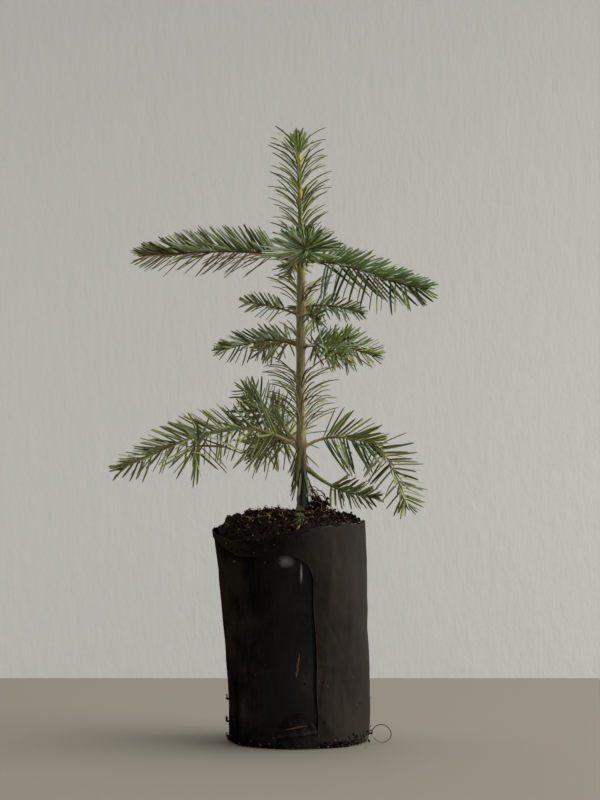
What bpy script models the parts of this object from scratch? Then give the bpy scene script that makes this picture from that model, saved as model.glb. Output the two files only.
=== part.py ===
"""A young fir seedling that stands on its film-wrapped root ball.

The trunk runs whole from a flat cut at soil level to its tip. Four whorls of side limbs leave it, and each
limb is a short bare bough that ends where its spray of needles begins. Sleeves of needles stand round the
trunk between the whorls. Every spray grows by one seeded rule: a stem, its side twigs, and flat needles set
round them by the golden angle, each left out where it would leave its spray's space or touch a limb.
The root ball is a mounded block of soil in a film cup, with an outer film layer and a small tab over it.
Metres, +Z up, the origin at the centre of the flat underside, and the seedling's front faces -Y.
"""

import math
import random
from collections import namedtuple

import bmesh
import bpy
import numpy as np
from mathutils import Vector

MM = 0.001
GAP = 0.3 * MM  # between neighbouring solids
SEED = 41
WELD = 1e-6  # points nearer than this are one
Z_UP = Vector((0, 0, 1))

# Root ball and film cup
BALL_RADIUS = 32.1 * MM  # outside of the cup at the table
BALL_FLARE = 1.9 * MM  # how much wider it is at the rim
BALL_LEAN = -4.2 * MM  # how far the rim's centre has slumped along X
BALL_SIDES = 30
FILM = 0.7 * MM
FOOT_CHAMFER = 1.2 * MM
RIM_HEIGHT = 99.2 * MM
RIM_TILT = 1.8 * MM  # the rim is this much higher on the right, and lower on the left
RIM_DIP = 4.2 * MM  # a sag in the rim left of the front
RIM_DIP_HEADING = -120  # degrees in plan from +X
WALL_RINGS = (0.2, 0.45, 0.72)  # shares of the rim's height where the wall has a ring of points
# The wall bulges in two waves: (times round, phase, twist over the full height, share of the radius)
BULGES = ((3, 1.1, 0, 0.012), (5, 0, 9, 0.009))

# Soil mound
SOIL_TOP = 104.4 * MM
SOIL_FLAT = 6 * MM  # radius of the level patch that the trunk stands on
SOIL_BELOW_RIM = 0.6 * MM
SOIL_RINGS = 6
LUMP = 0.9 * MM  # height of the soil's lumps
LUMPS_FROM = 7.8 * MM  # they lie between these two radii
LUMPS_TO = 29 * MM
LUMPS_ABOVE = 90 * MM

# Outer film layer: it covers the right and the back, and a band under the rim all the way round
LAYER_GAP = 0.45 * MM  # wider than GAP, for the facets of the slumped cup
LAYER_FOOT = 3 * MM
LAYER_BELOW_RIM = 1.2 * MM
LAYER_RINGS = (0, 0.25, 0.5, 0.75, 0.9, 1)
WINDOW_EDGE_X = 8.5 * MM
WINDOW_TOP = 86 * MM
WINDOW_CORNER = 11 * MM
WINDOW_BACK = 9.6 * MM  # the open part of the left side ends here in Y
TAB_WIDTH = 17.5 * MM
TAB_HEIGHT = 15.5 * MM
TAB_X = -0.4 * MM
TAB_FOOT = 0.4 * MM
TAB_BACK = -16 * MM
OUTSIDE = 90 * MM  # a cutter starts this far out, clear of the ball
BELOW = -2 * MM  # and this far under it

# Trunk
TRUNK_FOOT = SOIL_TOP + GAP
TRUNK_TIP = 275.8 * MM
TRUNK_LEAN = 2.5 * MM
TRUNK_SWAY = 1.3 * MM
TRUNK_SIDES = 10
TRUNK_RINGS = 25
RINGS_CLOSER = 1.25  # the rings stand closer together towards the foot
WOOD_RADIUS = 2.25 * MM  # just above the root flare
WOOD_TOP_RADIUS = 1.9 * MM  # just under the top whorl
LEADER_RADIUS = 1.35 * MM  # this year's shoot, above the top whorl
LEADER_TIP_RADIUS = 0.95 * MM
LEADER_FROM = 217 * MM  # the wood narrows to the leader between these heights
LEADER_FULL = 226 * MM
FLARE = 1.0 * MM
FLARE_HEIGHT = 5 * MM
TOP_WHORL = 220 * MM
BUD_LENGTH = 5.6 * MM
BUD_RADIUS = 1.5 * MM
BUD_LEAN = -0.9 * MM
BUD_SLIMMING = 0.35

# Needles
NEEDLE_WIDTH = 2.1 * MM
SPIKE_WIDTH = 1.5 * MM  # of a needle on the trunk, at its root
NEEDLE_THICKNESS = 0.75 * MM
WIDEST = 0.24  # share of its length at which a needle is widest
ROOT_DEPTH = 0.35 * MM  # how far past its stem's centre line a needle starts
GOLDEN = math.radians(137.508)
LEAN_ABOVE = 46  # degrees between a needle and its stem, on the stem's upper side
LEAN_AT_TIP = 24  # and over its tip; each limb has its own lean for the lower side
SIZE_ABOVE = 0.82  # length of the upper needles against the lower ones
SHORTEST = 0.55  # and of the last needles against the first
LENGTH_SPREAD = 0.12
ANGLE_SPREAD = 9  # degrees
SLEEVE_WALL = 0.5 * MM
SLEEVE_STEP = 11 * MM  # about this between the rings of a sleeve's core
ROOT_SHARE = 0.6  # how far across its sleeve's wall a trunk needle is rooted
SAMPLES = np.linspace(0.3, 1.0, 7)  # where along a needle its space is tested
SOIL_CLEARANCE = 1.6 * MM  # needles keep this far above the soil
RIM_CLEARANCE = 3 * MM  # and this far out from the rim

# Limbs. heading is degrees in plan from +X, so -90 is the front. A limb leaves the trunk at height, or goes on
# from the end of the limb that it follows. It runs out by reach, ends higher by rise, and arches by arch with
# its crest at that share of its length. Up to bare it is a bough without needles. below is the lean of its lower
# needles in degrees. twigs are (share of the spray, turn in degrees, reach, rise) of the side twigs.
LIMB_FIELDS = "name height heading reach rise arch crest bare radius needles length below twigs follows"
Limb = namedtuple("Limb", LIMB_FIELDS, defaults=((), ""))
LIMBS = (
    Limb("top_left", 219.7, 178, 71, 3.2, 3.6, 0.36, 0.10, 0.85, 40, 14.5, 56),
    Limb("top_right", 219.5, -29, 61, -13.0, 2.4, 0.27, 0.11, 0.85, 36, 16.0, 84),
    Limb("top_front", 220.6, -87, 45, 2.2, 1.5, 0.45, 0.14, 0.8, 32, 18.0, 76),
    Limb("top_back", 218.4, 96, 52, -3.0, 4.0, 0.40, 0.12, 0.8, 22, 15.0, 68),
    Limb("second_left", 195.8, 190, 23, 5.2, 0.9, 0.45, 0.20, 0.65, 14, 9.5, 68),
    Limb("second_right", 198.8, -12, 26, -2.8, 1.8, 0.45, 0.18, 0.65, 15, 9.5, 68),
    Limb("second_back", 197.2, 84, 27, 1.5, 2.0, 0.45, 0.18, 0.65, 11, 10.5, 68),
    Limb("second_front", 194.6, -64, 17, -1.6, 1.2, 0.45, 0.24, 0.6, 8, 9.0, 68),
    Limb("third_left", 181.6, 184, 34, -2.0, 2.8, 0.36, 0.15, 0.75, 22, 12.5, 72),
    Limb("third_right", 181.0, 6, 32, -3.8, 2.2, 0.36, 0.20, 0.75, 20, 13.0, 66),
    Limb("third_front", 180.2, -50, 27, -4.5, 2.4, 0.40, 0.18, 0.7, 16, 12.5, 68),
    Limb("third_back", 182.0, 122, 33, -2.5, 3.0, 0.40, 0.16, 0.75, 15, 13.0, 68),
    Limb("low_left", 135.2, 183, 79.5, -10.2, 11.6, 0.40, 0.10, 0.95, 36, 17.5, 76, ((0.47, 78, 25, -9),)),
    Limb("low_back_left", 137.0, 143, 30, 24.0, 0.8, 0.45, 0.16, 0.8, 22, 15.5, 68, ((0.45, 42, 12, 0),)),
    Limb("low_back", 136.0, 113, 52, -6.0, 5.0, 0.40, 0.20, 0.85, 24, 17.0, 68),
    Limb("low_right", 135.4, -4, 30, 0.8, 3.4, 0.42, 0.24, 0.85, 18, 18.5, 72),
    Limb("low_right_tip", 0, -4, 15.5, -28.5, 4.6, 0.45, 0.0, 0.65, 26, 16.5, 80, (), "low_right"),
    Limb("lowest_right", 124.2, 2, 31, -12.6, -3.2, 0.45, 0.34, 0.8, 18, 10.5, 66),
)
LIMB_TAPER = 0.45  # share of its radius that a limb loses by its tip
BOUGH_SIDES = 6
BOUGH_STEP = 2.5  # millimetres between a bough's rings
STEM_SIDES = 3
STEM_STEP = 7
STEM_SAMPLES = 4  # tested places between a stem's points
BEND_GAP = 0.45 * MM  # between a limb's tip and the limb that follows it
TWIG_POINTS = 5
TWIG_RADII = (0.7, 0.45)  # of a side twig at its ends, as shares of its limb's radius
TWIG_SAG = 1.6  # power by which a side twig's drop grows along it
TWIG_NEEDLES = 0.64  # needles on each millimetre of a side twig
FIRST_NEEDLE = 0.03  # share of a stem before its first needle
FIRST_TWIG_NEEDLE = 0.12

# Sleeves of needles round the trunk, from bottom to top. lift is how far a needle rises from the level.
Sleeve = namedtuple("Sleeve", "name bottom top needles length lift")
SLEEVES = (
    Sleeve("foot_needles", 126.2, 131.6, 10, 11.5, -58),
    Sleeve("lower_stem_needles", 142.5, 177.5, 25, 14.8, 32),
    Sleeve("mid_stem_needles", 184.6, 192.4, 8, 13.5, 34),
    Sleeve("upper_stem_needles", 201.4, 216.6, 15, 14.0, 34),
    Sleeve("leader_needles", 224.2, 274.6, 34, 15.8, 27),
)


def material(name, colour, roughness):
    """A plain Principled material in linear colour."""
    made = bpy.data.materials.new(name)
    made.use_nodes = True
    shader = made.node_tree.nodes["Principled BSDF"]
    shader.inputs["Base Color"].default_value = (*colour, 1)
    shader.inputs["Roughness"].default_value = roughness
    shader.inputs["Metallic"].default_value = 0
    return made


def start_scene():
    """Empties the scene, and returns the collection for the parts and the one for the cutters."""
    for obj in list(bpy.data.objects):
        bpy.data.objects.remove(obj)
    parts = bpy.data.collections.new("sapling_with_root_ball")
    cutters = bpy.data.collections.new("cutters")
    for collection in (parts, cutters):
        bpy.context.scene.collection.children.link(collection)
    return parts, cutters


def new_object(name, mesh, collection, finish=None):
    obj = bpy.data.objects.new(name, mesh)
    collection.objects.link(obj)
    if finish:
        mesh.materials.append(finish)
    return obj


def cutter_from(name, mesh, cutters):
    """A hidden object that only cuts others."""
    obj = new_object(name, mesh, cutters)
    obj.hide_render = True
    obj.display_type = "WIRE"
    return obj


def mix(first, second, share):
    return first + (second - first) * share


def smooth_step(low, high, value):
    share = min(max((value - low) / (high - low), 0.0), 1.0)
    return share * share * (3 - 2 * share)


def heading_vector(degrees):
    """The level direction at this heading in plan."""
    turn = math.radians(degrees)
    return Vector((math.cos(turn), math.sin(turn), 0))


# ---- the trunk's line ----


def trunk_share(height):
    return (height - TRUNK_FOOT) / (TRUNK_TIP - TRUNK_FOOT)


def trunk_centre(height):
    """The trunk leans in from its foot, then sways out and back before its tip."""
    share = min(max(trunk_share(height), 0.0), 1.0)
    x = TRUNK_LEAN * (1 - share) ** 3 + TRUNK_SWAY * math.sin(math.pi * share**1.9)
    y = 0.5 * TRUNK_SWAY * math.sin(2 * math.pi * share)
    return Vector((x, y, height))


def trunk_radius(height):
    """An even taper up to the top whorl, a thinner leader above it, and a flare at the foot."""
    to_whorl = trunk_share(height) / trunk_share(TOP_WHORL)
    wood = mix(WOOD_RADIUS, WOOD_TOP_RADIUS, to_whorl)
    up_leader = (height - TOP_WHORL) / (TRUNK_TIP - TOP_WHORL)
    leader = mix(LEADER_RADIUS, LEADER_TIP_RADIUS, up_leader)
    flare = FLARE * math.exp(-(height - TRUNK_FOOT) / FLARE_HEIGHT)
    return mix(wood, leader, smooth_step(LEADER_FROM, LEADER_FULL, height)) + flare


# ---- tubes and joining ----


def weld(mesh):
    """Joins points that meet, and turns every face outwards."""
    shape = bmesh.new()
    shape.from_mesh(mesh)
    bmesh.ops.remove_doubles(shape, verts=shape.verts, dist=WELD)
    bmesh.ops.recalc_face_normals(shape, faces=shape.faces)
    shape.to_mesh(mesh)
    shape.free()


def evaluated_mesh(obj):
    """A new mesh of the object with its modifiers or its curve's bevel worked out."""
    bpy.context.view_layer.update()
    graph = bpy.context.evaluated_depsgraph_get()
    return bpy.data.meshes.new_from_object(obj.evaluated_get(graph))


def poly_curve(name, points, radii):
    """A curve object with one straight-sided spline along these points."""
    curve = bpy.data.curves.new(name, "CURVE")
    curve.dimensions = "3D"
    spline = curve.splines.new("POLY")
    spline.points.add(len(points) - 1)
    for point, place, radius in zip(spline.points, points, radii):
        point.co = (*place, 1)
        point.radius = radius
    return new_object(name, curve, bpy.context.scene.collection)


def tube_mesh(name, points, radii, sides):
    """The mesh of a tapering tube with this many sides and flat closed ends along these points."""
    turns = [360 * index / sides for index in range(sides)]
    section = poly_curve("section", [heading_vector(turn) for turn in turns], [1] * sides)
    section.data.splines[0].use_cyclic_u = True
    obj = poly_curve(name, points, radii)
    obj.data.twist_mode = "Z_UP"
    obj.data.bevel_mode = "OBJECT"
    obj.data.bevel_object = section
    obj.data.use_fill_caps = True
    mesh = evaluated_mesh(obj)
    bpy.data.objects.remove(obj)
    bpy.data.objects.remove(section)
    weld(mesh)
    return mesh


def apply_boolean(obj, operation, **operand):
    """Applies one Boolean, with an object or a collection as its operand, to a mesh object."""
    modifier = obj.modifiers.new("join", "BOOLEAN")
    modifier.operation = operation
    modifier.solver = "EXACT"
    if "collection" in operand:
        modifier.operand_type = "COLLECTION"
        modifier.collection = operand["collection"]
    else:
        modifier.object = operand["object"]
    joined = evaluated_mesh(obj)
    obj.modifiers.clear()
    old = obj.data
    obj.data = joined
    joined.name = obj.name
    bpy.data.meshes.remove(old)


def islands_of(shape):
    """The faces of a mesh in groups that join across edges of two faces, largest group first."""
    left = set(shape.faces)
    groups = []
    while left:
        waiting = [left.pop()]
        group = []
        while waiting:
            face = waiting.pop()
            group.append(face)
            joints = [edge for edge in face.edges if len(edge.link_faces) == 2]
            near = {other for edge in joints for other in edge.link_faces} & left
            left -= near
            waiting.extend(near)
        groups.append(group)
    return sorted(groups, key=len, reverse=True)


def keep_outer_shell(obj):
    """Fills the hollows that fusing sealed and drops loose scraps: only the largest surface stays."""
    shape = bmesh.new()
    shape.from_mesh(obj.data)
    for group in islands_of(shape)[1:]:
        bmesh.ops.delete(shape, geom=group, context="FACES")
    shape.to_mesh(obj.data)
    shape.free()


def fuse(obj, meshes):
    """Joins these meshes to an object with one union, and removes them."""
    pieces = bpy.data.collections.new("pieces")
    bpy.context.scene.collection.children.link(pieces)
    for mesh in meshes:
        new_object("piece", mesh, pieces)
    apply_boolean(obj, "UNION", collection=pieces)
    for mesh in meshes:
        bpy.data.meshes.remove(mesh)
    bpy.data.collections.remove(pieces)
    keep_outer_shell(obj)


# ---- root ball ----


def rim_height(heading):
    """Height of the film's rim at this heading in radians: higher on the right, with a sag left of the front."""
    sag = max(0.0, math.cos(heading - math.radians(RIM_DIP_HEADING))) ** 3
    return RIM_HEIGHT + RIM_TILT * math.cos(heading) - RIM_DIP * sag


def settle(mesh):
    """Slumps a turned shape: it widens, bulges and leans with height, and its rim follows rim_height."""
    for vertex in mesh.vertices:
        place = vertex.co
        heading = math.atan2(place.y, place.x)
        share = max(place.z, 0.0) / RIM_HEIGHT
        widen = 1 + BALL_FLARE / BALL_RADIUS * share**1.6
        for times, phase, twist, size in BULGES:
            widen += size * math.sin(times * heading + phase + twist * share)
        outward = math.hypot(place.x, place.y) / BALL_RADIUS
        place.x = place.x * widen + BALL_LEAN * share**1.8
        place.y = place.y * widen
        place.z += (rim_height(heading) - RIM_HEIGHT) * (share * outward) ** 3


def turned_mesh(name, profile, closed=False):
    """A profile in X and Z, turned about Z with a Screw, then slumped."""
    mesh = bpy.data.meshes.new(name)
    count = len(profile)
    edges = [(index, index + 1) for index in range(count - 1)]
    if closed:
        edges.append((count - 1, 0))
    mesh.from_pydata([(x, 0, z) for x, z in profile], edges, [])
    obj = new_object(name, mesh, bpy.context.scene.collection)
    screw = obj.modifiers.new("turn", "SCREW")
    screw.steps = BALL_SIDES
    screw.render_steps = BALL_SIDES
    screw.use_merge_vertices = True
    screw.merge_threshold = WELD
    made = evaluated_mesh(obj)
    bpy.data.objects.remove(obj)
    settle(made)
    return made


def soil_height(outward):
    """The mound's height at this share of the soil's radius: a low dome with a level middle."""
    edge = RIM_HEIGHT - SOIL_BELOW_RIM
    return mix(SOIL_TOP, edge, outward**4)


def make_root_ball(parts, finish):
    """The soil block, a filled solid inside the film cup, with a lumpy mound on top."""
    radius = BALL_RADIUS - FILM - GAP
    foot = FILM + GAP
    profile = [(0, SOIL_TOP), (SOIL_FLAT, SOIL_TOP)]
    for share in np.linspace(SOIL_FLAT / radius, 1, SOIL_RINGS + 1)[1:]:
        profile.append((radius * share, soil_height(share)))
    for share in reversed(WALL_RINGS):
        profile.append((radius, RIM_HEIGHT * share))
    profile += [(radius, foot + FOOT_CHAMFER), (radius - FOOT_CHAMFER, foot), (0, foot)]
    mesh = turned_mesh("root_ball_soil", profile)
    rule = random.Random(SEED)
    for vertex in mesh.vertices:
        place = vertex.co
        if place.z > LUMPS_ABOVE and LUMPS_FROM < math.hypot(place.x, place.y) < LUMPS_TO:
            place.z += LUMP * rule.uniform(-1, 1)
    return new_object("root_ball_soil", mesh, parts, finish)


def make_film_cup(parts, finish):
    """The inner film: a thin cup with a flat underside that holds the soil."""
    inner = BALL_RADIUS - FILM
    heights = [RIM_HEIGHT * share for share in WALL_RINGS]
    profile = [(0, FILM), (inner - FOOT_CHAMFER, FILM), (inner, FILM + FOOT_CHAMFER)]
    profile += [(inner, height) for height in heights]
    profile += [(inner, RIM_HEIGHT), (BALL_RADIUS, RIM_HEIGHT)]
    profile += [(BALL_RADIUS, height) for height in reversed(heights)]
    profile += [(BALL_RADIUS, FOOT_CHAMFER), (BALL_RADIUS - FOOT_CHAMFER, 0), (0, 0)]
    return new_object("film_cup", turned_mesh("film_cup", profile), parts, finish)


def outer_ring(name, foot, top):
    """A closed ring of film that lies just outside the cup."""
    inner = BALL_RADIUS + LAYER_GAP
    outer = inner + FILM
    heights = [mix(foot, top, share) for share in LAYER_RINGS]
    profile = [(inner, height) for height in heights]
    profile += [(outer, height) for height in reversed(heights)]
    mesh = turned_mesh(name, profile, closed=True)
    weld(mesh)
    return mesh


def outline_cutter(name, outline, back, cutters):
    """A closed outline in X and Z, made solid from clear in front of the ball as far as the back plane."""
    shape = bmesh.new()
    corners = [shape.verts.new((x, -OUTSIDE, z)) for x, z in outline]
    grown = bmesh.ops.extrude_face_region(shape, geom=[shape.faces.new(corners)])
    moved = [item for item in grown["geom"] if isinstance(item, bmesh.types.BMVert)]
    bmesh.ops.translate(shape, verts=moved, vec=(0, OUTSIDE + back, 0))
    bmesh.ops.recalc_face_normals(shape, faces=shape.faces)
    mesh = bpy.data.meshes.new(name)
    shape.to_mesh(mesh)
    shape.free()
    return cutter_from(name, mesh, cutters)


def arc(centre, radius, end, steps):
    """Points on an arc in X and Z, from straight right round to an angle in degrees."""
    turns = np.radians(np.linspace(0, end, steps))
    return [(centre[0] + radius * math.cos(turn), centre[1] + radius * math.sin(turn)) for turn in turns]


def make_film_layer(parts, cutters, finish):
    """The outer film: whole on the right and the back, and a band under the rim over the open left."""
    mesh = outer_ring("film_outer_layer", LAYER_FOOT, RIM_HEIGHT - LAYER_BELOW_RIM)
    layer = new_object("film_outer_layer", mesh, parts, finish)
    corner = (WINDOW_EDGE_X - WINDOW_CORNER, WINDOW_TOP - WINDOW_CORNER)
    outline = [(WINDOW_EDGE_X, BELOW)] + arc(corner, WINDOW_CORNER, 90, 7)
    outline += [(-OUTSIDE, WINDOW_TOP), (-OUTSIDE, BELOW)]
    cutter = outline_cutter("window_cutter", outline, WINDOW_BACK, cutters)
    apply_boolean(layer, "DIFFERENCE", object=cutter)
    return layer


def make_film_tab(parts, cutters, finish):
    """A small arched tab of film at the foot of the front, against the cup."""
    mesh = outer_ring("film_tab", TAB_FOOT, 2 * TAB_HEIGHT)
    tab = new_object("film_tab", mesh, parts, finish)
    half = TAB_WIDTH / 2
    outline = [(TAB_X - half, BELOW), (TAB_X + half, BELOW)]
    outline += arc((TAB_X, TAB_HEIGHT - half), half, 180, 9)
    cutter = outline_cutter("tab_cutter", outline, TAB_BACK, cutters)
    apply_boolean(tab, "INTERSECT", object=cutter)
    return tab


# ---- limbs ----


def arch_shape(share, crest):
    """A cubic arch: 0 at both ends and 1 at its crest."""

    def rise(place):
        return place * (1 - place) * (1 + skew * (1 - 2 * place))

    tilt = 1 - 2 * crest
    skew = tilt / (2 * crest * (1 - crest) - tilt**2)
    return rise(share) / rise(crest)


def limb_line(limb, start, first, last, count):
    """Points on the limb's centre line between two shares of its length."""
    outward = heading_vector(limb.heading)
    points = []
    for share in np.linspace(first, last, count):
        lift = limb.rise * share + limb.arch * arch_shape(share, limb.crest)
        points.append(start + (outward * limb.reach * share + Z_UP * lift) * MM)
    return points


def limb_start(limb, ends):
    """Where the limb's centre line starts, far enough out for its slanted end to stay clear."""
    outward = heading_vector(limb.heading)
    if limb.follows:
        return ends[limb.follows] + outward * BEND_GAP
    height = limb.height * MM
    first, second = limb_line(limb, Vector(), 0, 0.02, 2)
    slant = abs((second - first).normalized().z)
    return trunk_centre(height) + outward * (trunk_radius(height) + GAP + slant * limb.radius * MM)


def limb_radii(limb, first, last, count):
    """An even taper towards the limb's tip."""
    return [limb.radius * MM * (1 - LIMB_TAPER * share) for share in np.linspace(first, last, count)]


def twig_line(limb, stem, twig):
    """A side twig: it leaves the stem at a share of the stem's points, turns from it, and sags or rises."""
    share, turn, reach, rise = twig
    start = stem[round(share * (len(stem) - 1))]
    outward = heading_vector(limb.heading + turn)
    steps = np.linspace(0, 1, TWIG_POINTS)
    return [start + (outward * reach * step + Z_UP * rise * step**TWIG_SAG) * MM for step in steps]


# ---- needles ----


def needle_mesh(root, direction, across, length, widest):
    """A flat needle: an eight-faced spindle, or a spike from its root where widest is 0."""
    shape = bmesh.new()
    if widest > 0:
        width = NEEDLE_WIDTH
        bmesh.ops.create_uvsphere(shape, u_segments=4, v_segments=2, radius=1)
    else:
        width = SPIKE_WIDTH
        bmesh.ops.create_cone(shape, segments=4, radius1=1, radius2=0, depth=2, cap_ends=True)
    flat = direction.cross(across).normalized()
    for vertex in shape.verts:
        middle = abs(vertex.co.z) < 0.5
        along = widest if middle else (vertex.co.z + 1) / 2
        sideways = across * vertex.co.x * width / 2
        through = flat * vertex.co.y * NEEDLE_THICKNESS / 2
        vertex.co = root + direction * along * length + sideways + through
    bmesh.ops.recalc_face_normals(shape, faces=shape.faces)
    mesh = bpy.data.meshes.new("needle")
    shape.to_mesh(mesh)
    shape.free()
    return mesh


def line_at(points, share):
    """The place and direction at this share along a run of points."""
    along = share * (len(points) - 1)
    index = min(int(along), len(points) - 2)
    tangent = (points[index + 1] - points[index]).normalized()
    return points[index].lerp(points[index + 1], along - index), tangent


def needles_on(limb, points, count, first, rule):
    """Needles round a twig by the golden angle: swept forward above, hanging below, closing over the tip."""
    grown = []
    turn = rule.uniform(0, 2 * math.pi)
    for index in range(count):
        share = mix(first, 1.0, (index + 0.5) / count)
        turn += GOLDEN
        place, tangent = line_at(points, share)
        side = tangent.cross(Z_UP).normalized()
        around = side * math.cos(turn) + side.cross(tangent) * math.sin(turn)
        above_share = (1 + around.z) / 2
        lean = mix(mix(limb.below, LEAN_ABOVE, above_share), LEAN_AT_TIP, share**3)
        lean = math.radians(lean + rule.uniform(-ANGLE_SPREAD, ANGLE_SPREAD))
        direction = tangent * math.cos(lean) + around * math.sin(lean)
        length = limb.length * MM * mix(1, SIZE_ABOVE, above_share) * mix(1, SHORTEST, share**4)
        length *= rule.uniform(1 - LENGTH_SPREAD, 1)
        across = tangent.cross(around).normalized()
        grown.append((place - direction * ROOT_DEPTH, direction, across, length))
    return grown


def needles_round_trunk(sleeve, rule):
    """Needles round the trunk by the golden angle, each rooted in its sleeve's wall."""
    grown = []
    turn = rule.uniform(0, 360)
    for index in range(sleeve.needles):
        height = mix(sleeve.bottom, sleeve.top, (index + 0.5) / sleeve.needles) * MM
        turn += math.degrees(GOLDEN)
        around = heading_vector(turn)
        lift = math.radians(sleeve.lift + rule.uniform(-ANGLE_SPREAD, ANGLE_SPREAD))
        direction = around * math.cos(lift) + Z_UP * math.sin(lift)
        root = trunk_centre(height) + around * (trunk_radius(height) + GAP + SLEEVE_WALL * ROOT_SHARE)
        length = sleeve.length * MM * rule.uniform(1 - LENGTH_SPREAD, 1)
        grown.append((root, direction, Z_UP.cross(around), length))
    return grown


class Space:
    """Keeps the plant's limbs and needles apart: sampled points, each with a radius and an owner."""

    def __init__(self):
        self.points = np.empty((0, 3))
        self.radii = np.empty(0)
        self.owners = np.empty(0, dtype=object)
        self.stems = {}

    def add(self, owner, points, radii):
        self.points = np.vstack([self.points, np.array(points)])
        self.radii = np.concatenate([self.radii, radii])
        self.owners = np.concatenate([self.owners, [owner] * len(points)])

    def add_stem(self, owner, region, points, radii):
        """A stem also holds the region round it, which no other spray may enter."""
        self.add(owner, points, radii)
        self.stems.setdefault(region, []).extend(points)

    def nearest(self, region, samples):
        stem = np.array(self.stems[region])
        return np.linalg.norm(samples[:, None] - stem[None], axis=2).min(axis=1)

    def has_room(self, owner, region, samples):
        """Whether a needle's middle lies in its own region, and all of it clear of what others own."""
        middle = samples[: len(samples) // 2]
        own = self.nearest(region, middle)
        for other in self.stems:
            if other != region and (self.nearest(other, middle) < own).any():
                return False
        others = (self.owners != owner) & (self.owners != region)
        reach = self.radii[others] + NEEDLE_WIDTH / 2 + GAP
        apart = np.linalg.norm(samples[:, None] - self.points[others][None], axis=2)
        return bool((apart > reach).all())


def in_soil(samples):
    """Whether any sample comes too near the soil mound or the film's rim."""
    low = samples[:, 2] < SOIL_TOP + SOIL_CLEARANCE
    outward = np.hypot(samples[:, 0] - BALL_LEAN, samples[:, 1])
    return bool((low & (outward < BALL_RADIUS + BALL_FLARE + RIM_CLEARANCE)).any())


def needles_with_room(grown, owner, region, space, widest):
    """Meshes of the needles that have room. Each then holds its own place."""
    meshes = []
    for root, direction, across, length in grown:
        samples = np.array([root + direction * length * share for share in SAMPLES])
        if in_soil(samples) or not space.has_room(owner, region, samples):
            continue
        space.add(owner, samples, np.full(len(samples), NEEDLE_WIDTH / 2))
        meshes.append(needle_mesh(root, direction, across, length, widest))
    return meshes


# ---- the plant ----


def make_trunk(parts, finish, space):
    rings = np.linspace(0, 1, TRUNK_RINGS) ** RINGS_CLOSER
    heights = [mix(TRUNK_FOOT, TRUNK_TIP, share) for share in rings]
    centres = [trunk_centre(height) for height in heights]
    radii = [trunk_radius(height) for height in heights]
    heights = np.arange(TRUNK_FOOT, TRUNK_TIP, 1.5 * MM)
    space.add("trunk", [trunk_centre(height) for height in heights], [trunk_radius(height) for height in heights])
    return new_object("trunk", tube_mesh("trunk", centres, radii, TRUNK_SIDES), parts, finish)


def trunk_tube(name, bottom, top, extra, steps):
    """A tube along the trunk's line, wider than the trunk by extra."""
    heights = np.linspace(bottom, top, steps)
    points = [trunk_centre(height) for height in heights]
    return tube_mesh(name, points, [trunk_radius(height) + extra for height in heights], TRUNK_SIDES)


def make_bud(parts, finish, space):
    """The pointed cluster of buds that ends the leader."""
    shape = bmesh.new()
    bmesh.ops.create_uvsphere(shape, u_segments=8, v_segments=6, radius=1)
    base = trunk_centre(TRUNK_TIP) + Z_UP * GAP
    tip = Vector((BUD_LEAN, 0, BUD_LENGTH))
    for vertex in shape.verts:
        up = (vertex.co.z + 1) / 2
        round_it = Vector((vertex.co.x, vertex.co.y, 0)) * BUD_RADIUS * (1 - BUD_SLIMMING * up)
        vertex.co = base + round_it + tip * up
    mesh = bpy.data.meshes.new("top_bud")
    shape.to_mesh(mesh)
    shape.free()
    space.add("top_bud", [base + tip * up for up in (0.3, 0.6, 0.9)], [BUD_RADIUS] * 3)
    return new_object("top_bud", mesh, parts, finish)


def make_boughs(parts, finish, space):
    """Every limb's bare bough. It returns each limb with the points of the stem that goes on from it."""
    stems = []
    ends = {}
    for limb in LIMBS:
        start = limb_start(limb, ends)
        ends[limb.name] = limb_line(limb, start, 1, 1, 1)[0]
        stem_from = 0
        if limb.bare:
            name = limb.name + "_bough"
            steps = max(3, round(limb.reach * limb.bare / BOUGH_STEP) + 1)
            line = limb_line(limb, start, 0, limb.bare, steps)
            radii = limb_radii(limb, 0, limb.bare, steps)
            new_object(name, tube_mesh(name, line, radii, BOUGH_SIDES), parts, finish)
            space.add(name, line, radii)
            stem_from = limb.bare + GAP / (limb.reach * MM)
        stems.append((limb, limb_line(limb, start, stem_from, 1, max(4, round(limb.reach / STEM_STEP)))))
    return stems


def claim_space(stems, space):
    """Gives every sleeve and stem the region round it, before any needle grows."""
    for sleeve in SLEEVES:
        heights = np.arange(sleeve.bottom, sleeve.top, 2.0) * MM
        radii = [trunk_radius(height) + GAP + SLEEVE_WALL for height in heights]
        space.add_stem(sleeve.name, "trunk", [trunk_centre(height) for height in heights], radii)
    for limb, stem in stems:
        shares = np.linspace(0, 1, len(stem) * STEM_SAMPLES)
        line = [line_at(stem, share)[0] for share in shares]
        space.add_stem(limb.name + "_needles", limb.name, line, limb_radii(limb, limb.bare, 1, len(line)))


def make_sleeve(sleeve, bore, space, parts, finish, rule):
    """A thin core round the trunk, cut clear of it, with needles rooted in the core's wall."""
    bottom = sleeve.bottom * MM
    top = sleeve.top * MM
    steps = max(3, round((top - bottom) / SLEEVE_STEP))
    mesh = trunk_tube(sleeve.name, bottom, top, GAP + SLEEVE_WALL, steps)
    obj = new_object(sleeve.name, mesh, parts, finish)
    apply_boolean(obj, "DIFFERENCE", object=bore)
    grown = needles_round_trunk(sleeve, rule)
    fuse(obj, needles_with_room(grown, sleeve.name, "trunk", space, 0))


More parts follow.
